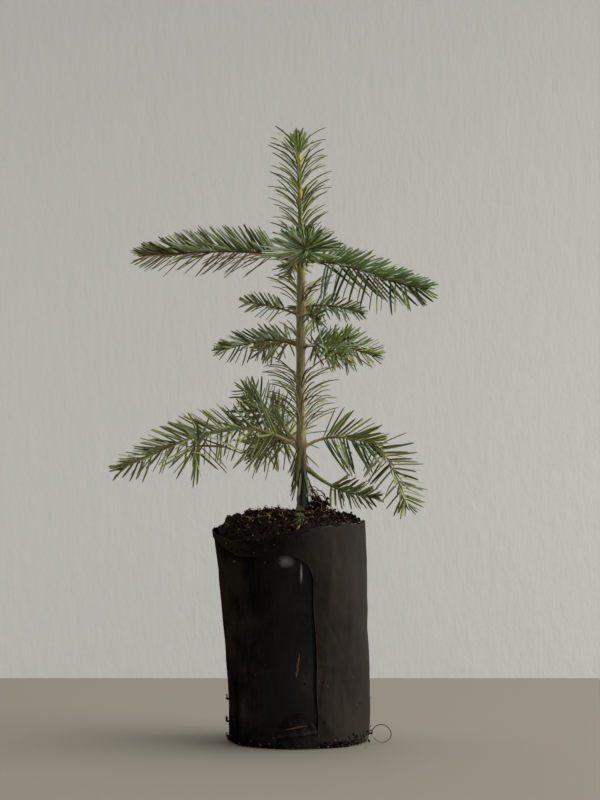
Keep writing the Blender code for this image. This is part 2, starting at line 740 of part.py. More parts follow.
def make_spray(limb, stem, space, parts, finish, rule):
    """A stem with its side twigs and needles, joined into one solid."""
    name = limb.name + "_needles"
    core = tube_mesh(name, stem, limb_radii(limb, limb.bare, 1, len(stem)), STEM_SIDES)
    obj = new_object(name, core, parts, finish)
    grown = needles_on(limb, stem, limb.needles, FIRST_NEEDLE, rule)
    pieces = []
    for twig in limb.twigs:
        line = twig_line(limb, stem, twig)
        radii = np.linspace(*TWIG_RADII, TWIG_POINTS) * limb.radius * MM
        pieces.append(tube_mesh("twig", line, radii, STEM_SIDES))
        space.add_stem(name, limb.name, line, radii)
        grown += needles_on(limb, line, round(twig[2] * TWIG_NEEDLES), FIRST_TWIG_NEEDLE, rule)
    pieces += needles_with_room(grown, name, limb.name, space, WIDEST)
    fuse(obj, pieces)


def main():
    parts, cutters = start_scene()
    bark = material("bark", (0.10, 0.07, 0.04), 0.85)
    needles = material("needles", (0.055, 0.10, 0.04), 0.55)
    buds = material("buds", (0.16, 0.07, 0.03), 0.6)
    soil = material("soil", (0.018, 0.013, 0.010), 0.95)
    film = material("film", (0.012, 0.011, 0.010), 0.4)

    make_root_ball(parts, soil)
    make_film_cup(parts, film)
    make_film_layer(parts, cutters, film)
    make_film_tab(parts, cutters, film)

    space = Space()
    make_trunk(parts, bark, space)
    make_bud(parts, buds, space)
    stems = make_boughs(parts, bark, space)
    claim_space(stems, space)

    rule = random.Random(SEED)
    bore_mesh = trunk_tube("trunk_clearance", TRUNK_FOOT - MM, TRUNK_TIP, GAP, 40)
    bore = cutter_from("trunk_clearance", bore_mesh, cutters)
    for sleeve in SLEEVES:
        make_sleeve(sleeve, bore, space, parts, needles, rule)
    for limb, stem in stems:
        make_spray(limb, stem, space, parts, needles, rule)


main()
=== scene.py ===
"""Fir sapling on its film-wrapped root ball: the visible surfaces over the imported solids.

Every length is in metres and every piece sits in the frame's own coordinates. The trunk, limbs, sprays and film
repeat the solids' rules, carried to finer detail: bark relief, curved flat needles, crumbled soil, creased film.
"""

import math
from collections import namedtuple
from functools import partial

import bpy
import numpy as np
from bpy.props import FloatProperty, FloatVectorProperty, IntProperty, PointerProperty
from bpy.types import Operator, Panel, PropertyGroup
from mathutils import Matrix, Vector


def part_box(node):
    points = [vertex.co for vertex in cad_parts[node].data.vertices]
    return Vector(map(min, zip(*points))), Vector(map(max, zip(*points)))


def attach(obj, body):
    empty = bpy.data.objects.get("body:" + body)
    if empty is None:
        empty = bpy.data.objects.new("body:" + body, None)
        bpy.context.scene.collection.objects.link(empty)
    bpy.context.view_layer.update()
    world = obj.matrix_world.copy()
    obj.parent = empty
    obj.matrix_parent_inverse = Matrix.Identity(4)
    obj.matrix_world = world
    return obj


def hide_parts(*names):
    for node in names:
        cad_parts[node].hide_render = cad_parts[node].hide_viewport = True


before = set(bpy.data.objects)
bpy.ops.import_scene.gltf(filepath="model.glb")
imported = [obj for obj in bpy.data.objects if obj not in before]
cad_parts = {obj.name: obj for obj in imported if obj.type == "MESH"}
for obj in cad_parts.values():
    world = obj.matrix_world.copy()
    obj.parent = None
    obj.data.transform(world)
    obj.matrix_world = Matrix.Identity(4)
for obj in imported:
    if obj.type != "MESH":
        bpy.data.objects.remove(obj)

bl_info = {
    "name": "Fir sapling with root ball",
    "version": (1, 0, 0),
    "blender": (4, 5, 0),
    "location": "3D View > Sidebar > Sapling",
    "description": "Builds the bark, needles, soil and film of a potted-out fir seedling",
    "category": "Add Mesh",
}

MM = 0.001
SEED = 41
GOLDEN = math.radians(137.508)
TURN = 2 * math.pi
Z_UP = np.array([0.0, 0.0, 1.0])

# ---- named sizes, the same as the solids' ----

BALL_RADIUS = 32.1 * MM
BALL_FLARE = 1.9 * MM
BALL_LEAN = -4.2 * MM
FILM = 0.7 * MM
FOOT_CHAMFER = 1.2 * MM
RIM_HEIGHT = 99.2 * MM
RIM_TILT = 1.8 * MM
RIM_DIP = 4.2 * MM
RIM_DIP_HEADING = math.radians(-120)
BULGES = ((3, 1.1, 0, 0.012), (5, 0, 9, 0.009))
SOIL_TOP = 104.4 * MM
SOIL_BELOW_RIM = 0.6 * MM
LAYER_GAP = 0.45 * MM
LAYER_RADIUS = BALL_RADIUS + LAYER_GAP + FILM
LAYER_FOOT = 3 * MM
WINDOW_EDGE_X = 8.5 * MM
WINDOW_BACK = 9.6 * MM
TAB_WIDTH = 17.5 * MM
TAB_HEIGHT = 15.5 * MM
TAB_X = -0.4 * MM
TAB_FOOT = 0.4 * MM

TRUNK_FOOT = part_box("trunk")[0].z
TRUNK_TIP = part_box("trunk")[1].z
TRUNK_LEAN = 2.5 * MM
TRUNK_SWAY = 1.3 * MM
WOOD_RADIUS = 2.25 * MM
WOOD_TOP_RADIUS = 1.9 * MM
LEADER_RADIUS = 1.35 * MM
LEADER_TIP_RADIUS = 0.95 * MM
LEADER_FROM = 217 * MM
LEADER_FULL = 226 * MM
FLARE = 1.0 * MM
FLARE_HEIGHT = 5 * MM
TOP_WHORL = 220 * MM
WHORLS = (137 * MM, 182 * MM, 197 * MM, TOP_WHORL)
BUD_LENGTH = 5.6 * MM
BUD_RADIUS = 1.5 * MM
BUD_LEAN = -0.9 * MM

TWIG_LEAN = 70
TWIG_LEAN_AT_TIP = 46
LENGTH_SPREAD = 0.16
ANGLE_SPREAD = 9
LIMB_TAPER = 0.45
BEND_GAP = 0.45 * MM
TWIG_RADII = (0.7, 0.45)
TWIG_SAG = 1.6

# The limbs, as in the solids but for the lean of some lower needles, which is below: heading in degrees in plan
# from +X, sizes in millimetres, and side twigs as (share of the limb, turn, reach, rise).
Limb = namedtuple(
    "Limb", "name height heading reach rise arch crest bare radius length below twigs follows", defaults=((), "")
)
LIMBS = (
    Limb("top_left", 219.7, 178, 71, 3.2, 3.6, 0.36, 0.10, 0.85, 14.5, 46),
    Limb("top_right", 219.5, -29, 61, -13.0, 2.4, 0.27, 0.11, 0.85, 16.0, 88),
    Limb("top_front", 220.6, -87, 45, 2.2, 1.5, 0.45, 0.14, 0.8, 18.0, 76),
    Limb("top_back", 218.4, 96, 52, -3.0, 4.0, 0.40, 0.12, 0.8, 15.0, 68),
    Limb("second_left", 195.8, 190, 23, 5.2, 0.9, 0.45, 0.20, 0.65, 9.5, 68),
    Limb("second_right", 198.8, -12, 26, -2.8, 1.8, 0.45, 0.18, 0.65, 9.5, 68),
    Limb("second_back", 197.2, 84, 27, 1.5, 2.0, 0.45, 0.18, 0.65, 10.5, 68),
    Limb("second_front", 194.6, -64, 17, -1.6, 1.2, 0.45, 0.24, 0.6, 9.0, 68),
    Limb("third_left", 181.6, 184, 34, -2.0, 2.8, 0.36, 0.15, 0.75, 12.5, 72),
    Limb("third_right", 181.0, 6, 32, -3.8, 2.2, 0.36, 0.20, 0.75, 13.0, 66, ((0.35, -50, 11, 2.5), (0.5, 48, 9, 2))),
    Limb("third_front", 180.2, -50, 27, -4.5, 2.4, 0.40, 0.18, 0.7, 12.5, 68, ((0.42, 50, 8, 2.0),)),
    Limb("third_back", 182.0, 122, 33, -2.5, 3.0, 0.40, 0.16, 0.75, 13.0, 68),
    Limb("low_left", 135.2, 183, 79.5, -10.2, 11.6, 0.40, 0.10, 0.95, 17.5, 76, ((0.525, 78, 25, -9),)),
    Limb("low_back_left", 137.0, 143, 30, 24, 0.8, 0.45, 0.16, 0.8, 15.5, 68, ((0.54, 42, 12, 0), (0.42, -50, 11, 3))),
    Limb("low_back", 136.0, 113, 52, -6.0, 5.0, 0.40, 0.20, 0.85, 17.0, 68, ((0.5, 44, 15, -2), (0.35, -40, 12, 1))),
    Limb("low_right", 135.4, -4, 30, 0.8, 3.4, 0.42, 0.24, 0.85, 18.5, 72),
    Limb("low_right_tip", 0, -4, 15.5, -28.5, 4.6, 0.45, 0.0, 0.47, 16.5, 80, (), "low_right"),
    Limb("lowest_right", 124.2, 2, 31, -12.6, -3.2, 0.45, 0.34, 0.8, 10.5, 66),
)

# Sleeves of needles round the trunk: from and to in millimetres, needles a millimetre, their length, their lift in
# degrees, and how much they arch.
Sleeve = namedtuple("Sleeve", "name bottom top density length lift arch")
SLEEVES = (
    Sleeve("foot_needles", 120.5, 136.5, 2.6, 12.0, -72, -0.25),
    Sleeve("lower_stem_needles", 140.0, 179.5, 2.5, 17.8, 27, 0.50),
    Sleeve("mid_stem_needles", 183.0, 194.5, 3.2, 14.5, 32, 0.40),
    Sleeve("upper_stem_needles", 199.5, 218.5, 3.1, 16.5, 30, 0.46),
    Sleeve("leader_needles", 223.0, 273.5, 2.3, 15.8, 32, 0.40),
)

# Needle tones, in the order of their material slots. A look is how a spray grows: needles a millimetre, how much
# they crowd to its upper side, the length of its upper and its lowest needles against those at its sides, the lean
# of its upper needles and of those at its tip, its lengths against the solid's, how far its lower needles cross,
# its tones above and below, and how far its lower needles turn their flat to the side.
TONES = ("deep", "fresh", "olive", "dry", "blue")
Look = namedtuple(
    "Look",
    "density crowd top hang lean tip longer cross above below flat",
    defaults=(2.3, 0.35, 0.88, 1.0, 46, 24, 1.0, 0, (5, 4, 2, 0, 0), (5, 2, 4, 1, 0), 0.2),
)
PLAIN_LOOK = Look()
STEM_TONES = {"above": (1, 2, 4, 4, 0), "below": (1, 2, 4, 4, 0)}
LOOKS = {
    "top_left": Look(3.2, 0.90, 1.10, 1.20, 50, above=(8, 2, 2, 0, 0), below=(0, 1, 3, 6, 0)),
    "top_right": Look(3.9, 0.30, 0.92, 1.25, 40, cross=54, above=(0, 3, 0, 0, 12), below=(5, 2, 2, 0, 1), flat=0.6),
    "top_front": Look(4.6, 0.55, 0.60, 0.30, 68, 62, 1.24, above=(10, 3, 1, 0, 1), below=(9, 3, 1, 0, 0)),
    "top_back": Look(1.7, 0.6, 0.9, 0.5),
    "second_right": Look(above=(2, 3, 1, 0, 8)),
    "third_right": Look(2.7, 0.20, 0.95, 1.0, 54, above=(0, 7, 1, 0, 7), below=(2, 6, 3, 0, 1)),
    "third_front": Look(2.7, 0.20, 0.95, 1.0, 60, above=(0, 7, 1, 0, 6), below=(2, 6, 3, 0, 1)),
    "low_left": Look(1.95, 0.42, 0.95, above=(5, 6, 3, 0, 1), below=(4, 5, 5, 0, 0), flat=0.6),
    "low_back_left": Look(2.5, 0.20, 1.0, 1.0, 62, 40, above=(7, 4, 1, 0, 2), below=(5, 3, 3, 0, 1)),
    "low_right": Look(2.7, -0.15, 0.9, 1.15, above=(4, 4, 4, 0, 0), below=(7, 2, 3, 0, 0), flat=0.5),
    "low_right_tip": Look(2.0, 0.05, 0.95, 1.0, 58, 40, above=(3, 5, 4, 0, 0), below=(4, 3, 5, 0, 0), flat=0.6),
    "lowest_right": Look(3.1, 0.10, 0.95, 1.0, 60, above=(2, 5, 4, 0, 0), below=(4, 4, 4, 0, 0), flat=0.6),
    "foot_needles": Look(above=(9, 0, 5, 3, 0), below=(9, 0, 5, 3, 0)),
    "lower_stem_needles": Look(**STEM_TONES),
    "mid_stem_needles": Look(**STEM_TONES),
    "upper_stem_needles": Look(**STEM_TONES),
    "leader_needles": Look(above=(3, 6, 4, 0, 0), below=(3, 4, 5, 0, 0)),
}
SHORTEST = 0.44  # of a needle at a limb's tip, against those along it
TWIG_DENSITY = 0.72  # of a side twig's needles, and the lengths of all and of its upper ones, against its limb's
TWIG_LENGTH = 1.32
TWIG_TOP = 0.55
DRY_WIDTH = 0.62
TIP_NEEDLES = 38  # round the leader's end bud
TIP_CURL = 0.6
BARK_SHARE = 0.8  # of the solid limb's radius, which is stouter than the twig it stands for
BRANCH_FOOT = (0.3, 1.4 * MM)  # how much a limb swells at its foot, and how fast that fades
STOUT_FOOT = (1.1, 9 * MM)  # the same for the lowest limb, a green one with a thick foot
CLEAR_OF_LIMBS = 0.9 * MM
CELL = 0.6 * MM  # two needles never pass through one cell of this size
TRIES = 4  # candidates for each needle, and the shares of a candidate's length at which its place is tested
SAMPLES = np.linspace(0.3, 1.0, 9)
CELL_SAMPLES = np.linspace(0.16, 1, 16)
CELLS_ACROSS = 4096
FIRST_CELL = 1000  # added to a cell's number, so that none is below zero
NEAR_OWN = 0.4 * MM  # how much nearer another stem a needle's first half may be than its own
OFF_SOIL = 1.4 * MM
TESTED_AT_ONCE = 4000  # points, and cushions of bark below, so that the arrays stay small
CUSHIONS_AT_ONCE = 24

# The camera's station: a level long lens straight in front.
CAMERA_PLACE = (0.92 * MM, -1191 * MM, 156.2 * MM)
CAMERA_LENS = 116.6


def linear(hex_colour):
    """The linear colour of an sRGB hex value."""
    values = [int(hex_colour[i : i + 2], 16) / 255 for i in (1, 3, 5)]
    return tuple(v / 12.92 if v <= 0.04045 else ((v + 0.055) / 1.055) ** 2.4 for v in values)


def length_property(name, description, default):
    """A number field in metres."""
    return FloatProperty(name=name, description=description, default=default, unit="LENGTH", precision=5)


def colour_property(name, description, default):
    """A colour field, whose default is given as sRGB."""
    return FloatVectorProperty(
        name=name, description=description, default=linear(default), size=3, subtype="COLOR", min=0, max=1
    )


class NeedleSettings(PropertyGroup):
    """Sizes and colours of the needles."""

    width: length_property("Width", "Width of a needle at its widest", 1.1 * MM)
    thickness: length_property("Thickness", "Thickness of a needle at its midrib", 0.45 * MM)
    density: FloatProperty(name="Density", description="Share of the usual number of needles", default=1.0, min=0.1)
    curl: FloatProperty(name="Curl", description="How far a needle bows, as a share of its length", default=0.16)
    deep: colour_property("Deep green", "Shaded older needles", "#4a5b31")
    fresh: colour_property("Fresh green", "Lighter needles", "#828d49")
    olive: colour_property("Olive", "Needles seen edge-on low on a limb", "#6f6a38")
    dry: colour_property("Dry", "Thin drying needles", "#86704c")
    blue: colour_property("Blue green", "Waxy needles", "#889b80")
    under: colour_property("Underside", "Underside with its two pale bands", "#879366")


class WoodSettings(PropertyGroup):
    """Relief and colours of the trunk, limbs and buds."""

    relief: length_property("Relief", "Height of the bark's ridges", 0.06 * MM)
    scars: length_property("Needle cushions", "Height of the cushions that needles leave", 0.16 * MM)
    collar: length_property("Collar", "Swelling of the trunk where a limb leaves it", 0.45 * MM)
    foot: colour_property("Trunk foot", "Old damp bark near the soil", "#33261a")
    trunk: colour_property("Trunk", "Bark of the older wood", "#a8976c")
    leader: colour_property("Leader", "This year's shoot", "#bfae5a")
    red: colour_property("Red twig", "Bark of the younger limbs", "#966c44")
    tan: colour_property("Tan twig", "Bark of the long low limbs", "#cdb37e")
    green: colour_property("Green twig", "Bark of the lowest twig", "#92a256")
    bud: colour_property("Bud", "Resinous bud scales", "#5c5a2e")


class SoilSettings(PropertyGroup):
    """Roughness and colours of the root ball's soil."""

    roughness: length_property("Roughness", "Height of the soil's lumps", 1.9 * MM)
    crumbs: IntProperty(name="Crumbs", description="Number of loose crumbs on the mound", default=1500, min=0)
    soil: colour_property("Soil", "Damp peat", "#150c06")
    bark: colour_property("Bark bits", "Composted bark in the soil", "#4a2a16")
    straw: colour_property("Straw", "Dry fibres", "#7d6842")
    moss: colour_property("Moss", "Moss at the trunk's foot", "#5f6a2e")


class FilmSettings(PropertyGroup):
    """Creases and colours of the wrapping film."""

    crease: length_property("Crease", "Height of the film's creases", 0.27 * MM)
    sheet: length_property("Sheet", "Thickness of the outer film layer", 0.35 * MM)
    inner: colour_property("Inner film", "Clean black polyethylene", "#080706")
    outer: colour_property("Outer film", "Scuffed, dusty polyethylene", "#0c0a09")
    # The dust colour is also the film's lit tone: mixed in on its right side, it is partly real dust and partly
    # painted light.
    dust: colour_property("Dust", "Film dulled by dried soil", "#2d2620")
    stain: colour_property("Stain", "Scraps of rusty bark", "#503626")


class StageSettings(PropertyGroup):
    """The table, the wall and the light."""

    edge_distance: length_property("Table edge", "How far behind the plant the table ends", 264 * MM)
    wall_distance: length_property("Wall distance", "How far behind the plant the wall stands", 1800 * MM)
    table: colour_property("Table", "Colour of the table", "#726d62")
    wall: colour_property("Wall", "Colour of the wall", "#b6b4ae")
    key: FloatProperty(name="Key light", description="Power of the window light from the right", default=29.0, min=0)
    fill: FloatProperty(name="Fill light", description="Power of the soft light from the front", default=1.2, min=0)
    top: FloatProperty(name="Ceiling light", description="Power of the light from above", default=26.0, min=0)
    wash: FloatProperty(name="Wall light", description="Power of the light on the wall", default=11.0, min=0)


# ---- small tools ----


def mix(first, second, share):
    """The first value plus that share of the step to the second."""
    return first + (second - first) * share


def smooth_step(low, high, value):
    """0 below low, 1 above high, and between them 3 times the share squared less 2 times its cube."""
    share = np.clip((value - low) / (high - low), 0, 1)
    return share * share * (3 - 2 * share)


def unit(vectors):
    """Each vector divided by its length."""
    return vectors / np.linalg.norm(vectors, axis=-1, keepdims=True)


def heading_vector(heading):
    """The level direction at a heading in radians."""
    return np.stack([np.cos(heading), np.sin(heading), np.zeros_like(heading)], -1)


def ripple(points, size, seed, layers=3):
    """Smooth noise between about -1 and 1: plane waves in random directions, each layer half as long and high."""
    rng = np.random.default_rng(seed)
    total = np.zeros(points.shape[:-1])
    for layer in range(layers):
        waves = unit(rng.normal(size=(7, points.shape[-1]))) * TURN / size * 2**layer
        phases = rng.uniform(0, TURN, 7)
        total += np.sin(points @ waves.T + phases).mean(-1) * 1.6 / 2**layer
    return total


def grid_quads(rows, columns, wrap):
    """Quads of a grid of points stored row by row. Where it wraps, the last column joins the first."""
    row, column = np.meshgrid(np.arange(rows - 1), np.arange(columns if wrap else columns - 1), indexing="ij")
    after = (column + 1) % columns
    quads = [row * columns + column, row * columns + after, (row + 1) * columns + after, (row + 1) * columns + column]
    return np.stack(quads, -1).reshape(-1, 4)


class Batch:
    """Gathers surfaces into one piece: their points, and their faces with the material slot of each."""

    def __init__(self):
        self.points = []
        self.faces = []
        self.slots = []
        self.count = 0

    def add(self, points, *parts):
        """Each part is (faces, slots): an array of corner numbers of one width, and the slot of all or of each."""
        self.points.append(points.reshape(-1, 3))
        for faces, slots in parts:
            self.faces.append(faces.reshape(-1, faces.shape[-1]) + self.count)
            self.slots.append(np.broadcast_to(slots, faces.shape[:-1]).reshape(-1))
        self.count += len(self.points[-1])
        return self

    def add_tube(self, rings, slot=0):
        """A closed surface from rings of points, whose first and last rings each close on their middle point."""
        rows, columns = rings.shape[:2]
        ends = np.stack([rings[0].mean(0), rings[-1].mean(0)])
        around = np.arange(columns)
        after = (around + 1) % columns
        last = (rows - 1) * columns
        first_fan = np.stack([after, around, np.full(columns, rows * columns)], -1)
        last_fan = np.stack([last + around, last + after, np.full(columns, rows * columns + 1)], -1)
        fans = np.concatenate([first_fan, last_fan])
        points = np.concatenate([rings.reshape(-1, 3), ends])
        return self.add(points, (grid_quads(rows, columns, True), slot), (fans, slot))

    def build(self, name, materials, sharp=None):
        """Puts the arrays into a new mesh object at the origin."""
        mesh = bpy.data.meshes.new(name)
        points = np.concatenate(self.points)
        corners = np.concatenate([faces.ravel() for faces in self.faces])
        widths = np.concatenate([np.full(len(faces), faces.shape[1]) for faces in self.faces])
        mesh.vertices.add(len(points))
        mesh.vertices.foreach_set("co", points.astype(np.float32).ravel())
        mesh.loops.add(len(corners))
        mesh.loops.foreach_set("vertex_index", corners.astype(np.int32))
        mesh.polygons.add(len(widths))
        mesh.polygons.foreach_set("loop_start", (np.cumsum(widths) - widths).astype(np.int32))
        mesh.polygons.foreach_set("material_index", np.concatenate(self.slots).astype(np.int32))
        mesh.update(calc_edges=True)
        mesh.shade_smooth()
        if sharp:
            mesh.set_sharp_from_angle(angle=math.radians(sharp))
        for material in materials:
            mesh.materials.append(material)
        obj = bpy.data.objects.new(name, mesh)
        bpy.context.scene.collection.objects.link(obj)
        return obj


def place_piece(obj, slot, *nodes):
    """Puts a finished piece on the plant's one body, over the nodes that it stands for, which it hides. slot is not
    used.
    """
    if nodes:
        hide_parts(*nodes)
    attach(obj, "root")


def tube_rings(path, radii, sides, up=Z_UP):
    """Rings round a path: place + radius * (side cos t + above sin t), square to the path, outward faces. radii
    has a row for each point of the path, with one column or one for each side."""
    tangents = unit(np.gradient(path, axis=0))
    side = unit(np.cross(tangents, up))
    above = np.cross(side, tangents)
    turn = -TURN * np.arange(sides) / sides
    spokes = side[:, None] * np.cos(turn)[:, None] + above[:, None] * np.sin(turn)[:, None]
    return path[:, None] + spokes * radii[..., None]


def distance_along(line):
    """The distance from a line's first point to each of its points."""
    return np.concatenate([[0], np.cumsum(np.linalg.norm(np.diff(line, axis=0), axis=1))])


# ---- materials ----

NEEDLE_ROUGHNESS = (0.4, 0.42, 0.5, 0.66, 0.38, 0.6)  # of each tone, and of the underside
BARK_BAND = 12 * MM  # half the height over which the bark of one age turns into the next
OLD_BARK_TOP = 132 * MM
YOUNG_BARK_TOP = 221 * MM
FILM_SOILED = (-27 * MM, -10 * MM)  # from full soiling at the film's left to none, and the same for its shine
FILM_DULL = (-27 * MM, -8 * MM)
FILM_DUST_AND_LIT_SIDE = (-4 * MM, 14 * MM)  # from clean film to its right side, lightened by dust and by painted light from the right
PAINTED_HIGHLIGHT_GREY = (0.19, 0.18, 0.165, 1)  # pale grey of the painted highlights
# Painted highlights on the inner film's front, pale patches where its folds would catch the light: (middle, size,
# strength).
PAINTED_FILM_HIGHLIGHTS = (
    ((-5.3 * MM, -32 * MM, 84.4 * MM), (4.0 * MM, 9 * MM, 3.6 * MM), 1.9),
    ((1.5 * MM, -32 * MM, 78.9 * MM), (0.7 * MM, 9 * MM, 5.5 * MM), 2.6),
)


def shade(colour, share=1.0):
    """A colour darkened or lightened by a share, with its alpha."""
    return (*[min(1, c * share) for c in colour[:3]], 1)


def set_inputs(node, inputs):
    """Links each input that is given as a socket, and sets any other to its value."""
    for key, value in inputs.items():
        if isinstance(value, bpy.types.NodeSocket):
            node.id_data.links.new(value, node.inputs[key])
        else:
            node.inputs[key].default_value = value


def add_node(tree, kind, inputs, output=0, **settings):
    """Adds a node with its settings and links, and returns the output asked for."""
    node = tree.nodes.new("ShaderNode" + kind)
    for key, value in settings.items():
        setattr(node, key, value)
    set_inputs(node, inputs)
    return node.outputs[output]


def start_material(name, constants, *patterns):
    """A Principled material: itself, what adds a node to it, its shader, the piece's own coordinates and a noise
    for each pattern, which is (spacing in millimetres, detail, and any stretch upwards as a share under 1)."""
    material = bpy.data.materials.new(name)
    material.use_nodes = True
    add = partial(add_node, material.node_tree)
    shader = material.node_tree.nodes["Principled BSDF"]
    set_inputs(shader, constants)
    place = add("TexCoord", {}, "Object")
    noises = []
    for spacing, detail, *stretch in patterns:
        moved = add("Mapping", {"Vector": place, "Scale": (1, 1, *stretch)}) if stretch else place
        inputs = {"Vector": moved, "Scale": 1 / (spacing * MM), "Detail": detail, "Roughness": 0.6}
        noises.append(add("TexNoise", inputs))
    return material, add, shader, place, noises


def grained(name, constants, pattern, dark, light, relief, strength):
    """A material that one noise carries from dark to light and raises by the same pattern."""
    material, add, shader, _, (grain,) = start_material(name, constants, pattern)
    tones = add("MapRange", {0: grain, 1: 0.35, 2: 0.65})
    base = add("Mix", {0: tones, 6: dark, 7: light}, 2, data_type="RGBA")
    bump = add("Bump", {"Height": grain, "Distance": relief, "Strength": strength})
    set_inputs(shader, {"Base Color": base, "Normal": bump})
    return material


def waxy_needle(name, colour, roughness):
    """Fir needle, a living cuticle: a thin wax over green flesh gives a broad soft shine and small even tone
    shifts, about 2 mm long."""
    constants = {"Roughness": roughness, "IOR": 1.42, "Specular IOR Level": 0.45}
    material, add, shader, _, (mottling, grain) = start_material(name, constants, (2.2, 2), (0.5, 2))
    tones = {0: mottling, 6: shade(colour, 0.72), 7: shade(colour, 1.32)}
    base = add("Mix", tones, 2, data_type="RGBA")
    bump = add("Bump", {"Height": grain, "Distance": 0.05 * MM, "Strength": 0.5})
    set_inputs(shader, {"Base Color": base, "Normal": bump})
    return material


def fir_bark(name, low, high, change=(), scale=1.0):
    """Young fir bark, grown: thin smooth skin with a soft sheen, and dark cracks along the stem between paler
    ridges. The cracks are 0.9 mm apart and six times as long, drawn that coarse so that they show. change gives
    the heights at which older bark turns into younger, with its colour."""
    patterns = (0.9 * scale, 4, 0.16), (6 * scale, 3)
    constants = {"Roughness": 0.60, "IOR": 1.45}
    material, add, shader, place, (streaks, blotches) = start_material(name, constants, *patterns)
    blotched = add("MapRange", {0: blotches, 1: 0.35, 2: 0.65})
    base = add("Mix", {0: blotched, 6: low, 7: high}, 2, data_type="RGBA")
    for at, colour in change:
        height = add("SeparateXYZ", {0: place}, "Z")
        younger = add("MapRange", {0: height, 1: at - BARK_BAND, 2: at + BARK_BAND})
        base = add("Mix", {0: younger, 6: base, 7: colour}, 2, data_type="RGBA")
    dark = add("Mix", {0: 0.45, 6: base, 7: shade(low, 0.3)}, 2, data_type="RGBA")
    ridged = add("MapRange", {0: streaks, 1: 0.36, 2: 0.56})
    base = add("Mix", {0: ridged, 6: dark, 7: base}, 2, data_type="RGBA")
    bump = add("Bump", {"Height": streaks, "Distance": 0.1 * MM * scale, "Strength": 0.6})
    set_inputs(shader, {"Base Color": base, "Normal": bump})
    return material


def bud_scales(name, colour):
    """Fir bud, a resin-coated cone of scales: warm brown-green, a soft glaze and darker tips."""
    constants = {"Roughness": 0.38, "IOR": 1.48, "Coat Weight": 0.25, "Coat Roughness": 0.25}
    return grained(name, constants, (0.7, 3), shade(colour, 0.5), colour, 0.08 * MM, 0.6)


def plant_debris(name, colour, roughness=0.85):
    """Composted bark, straw or moss, broken by hand: fibrous, matt, each bit a little darker at one end."""
    constants = {"Roughness": roughness, "IOR": 1.4}
    return grained(name, constants, (0.8, 4, 0.4), shade(colour, 0.35), shade(colour, 1.3), 0.15 * MM, 0.7)


def damp_peat(name, colour):
    """Peat compost, pressed and damp: nearly black with brown grains of about 1 mm and a few wet glints."""
    constants = {"IOR": 1.4, "Specular IOR Level": 0.08}
    material, add, shader, _, (grains, patches) = start_material(name, constants, (1.1, 5), (7, 3))
    browned = add("MapRange", {0: grains, 1: 0.4, 2: 0.72})
    base = add("Mix", {0: browned, 6: shade(colour, 0.45), 7: shade(colour, 2.2)}, 2, data_type="RGBA")
    evened = add("MapRange", {0: patches, 1: 0.5, 2: 0.8, 3: 0, 4: 0.5})
    base = add("Mix", {0: evened, 6: base, 7: colour}, 2, data_type="RGBA")
    roughness = add("MapRange", {0: grains, 1: 0.3, 2: 0.7, 3: 0.95, 4: 0.6})
    bump = add("Bump", {"Height": grains, "Distance": 0.5 * MM, "Strength": 0.9})
    set_inputs(shader, {"Base Color": base, "Roughness": roughness, "Normal": bump})
    return material


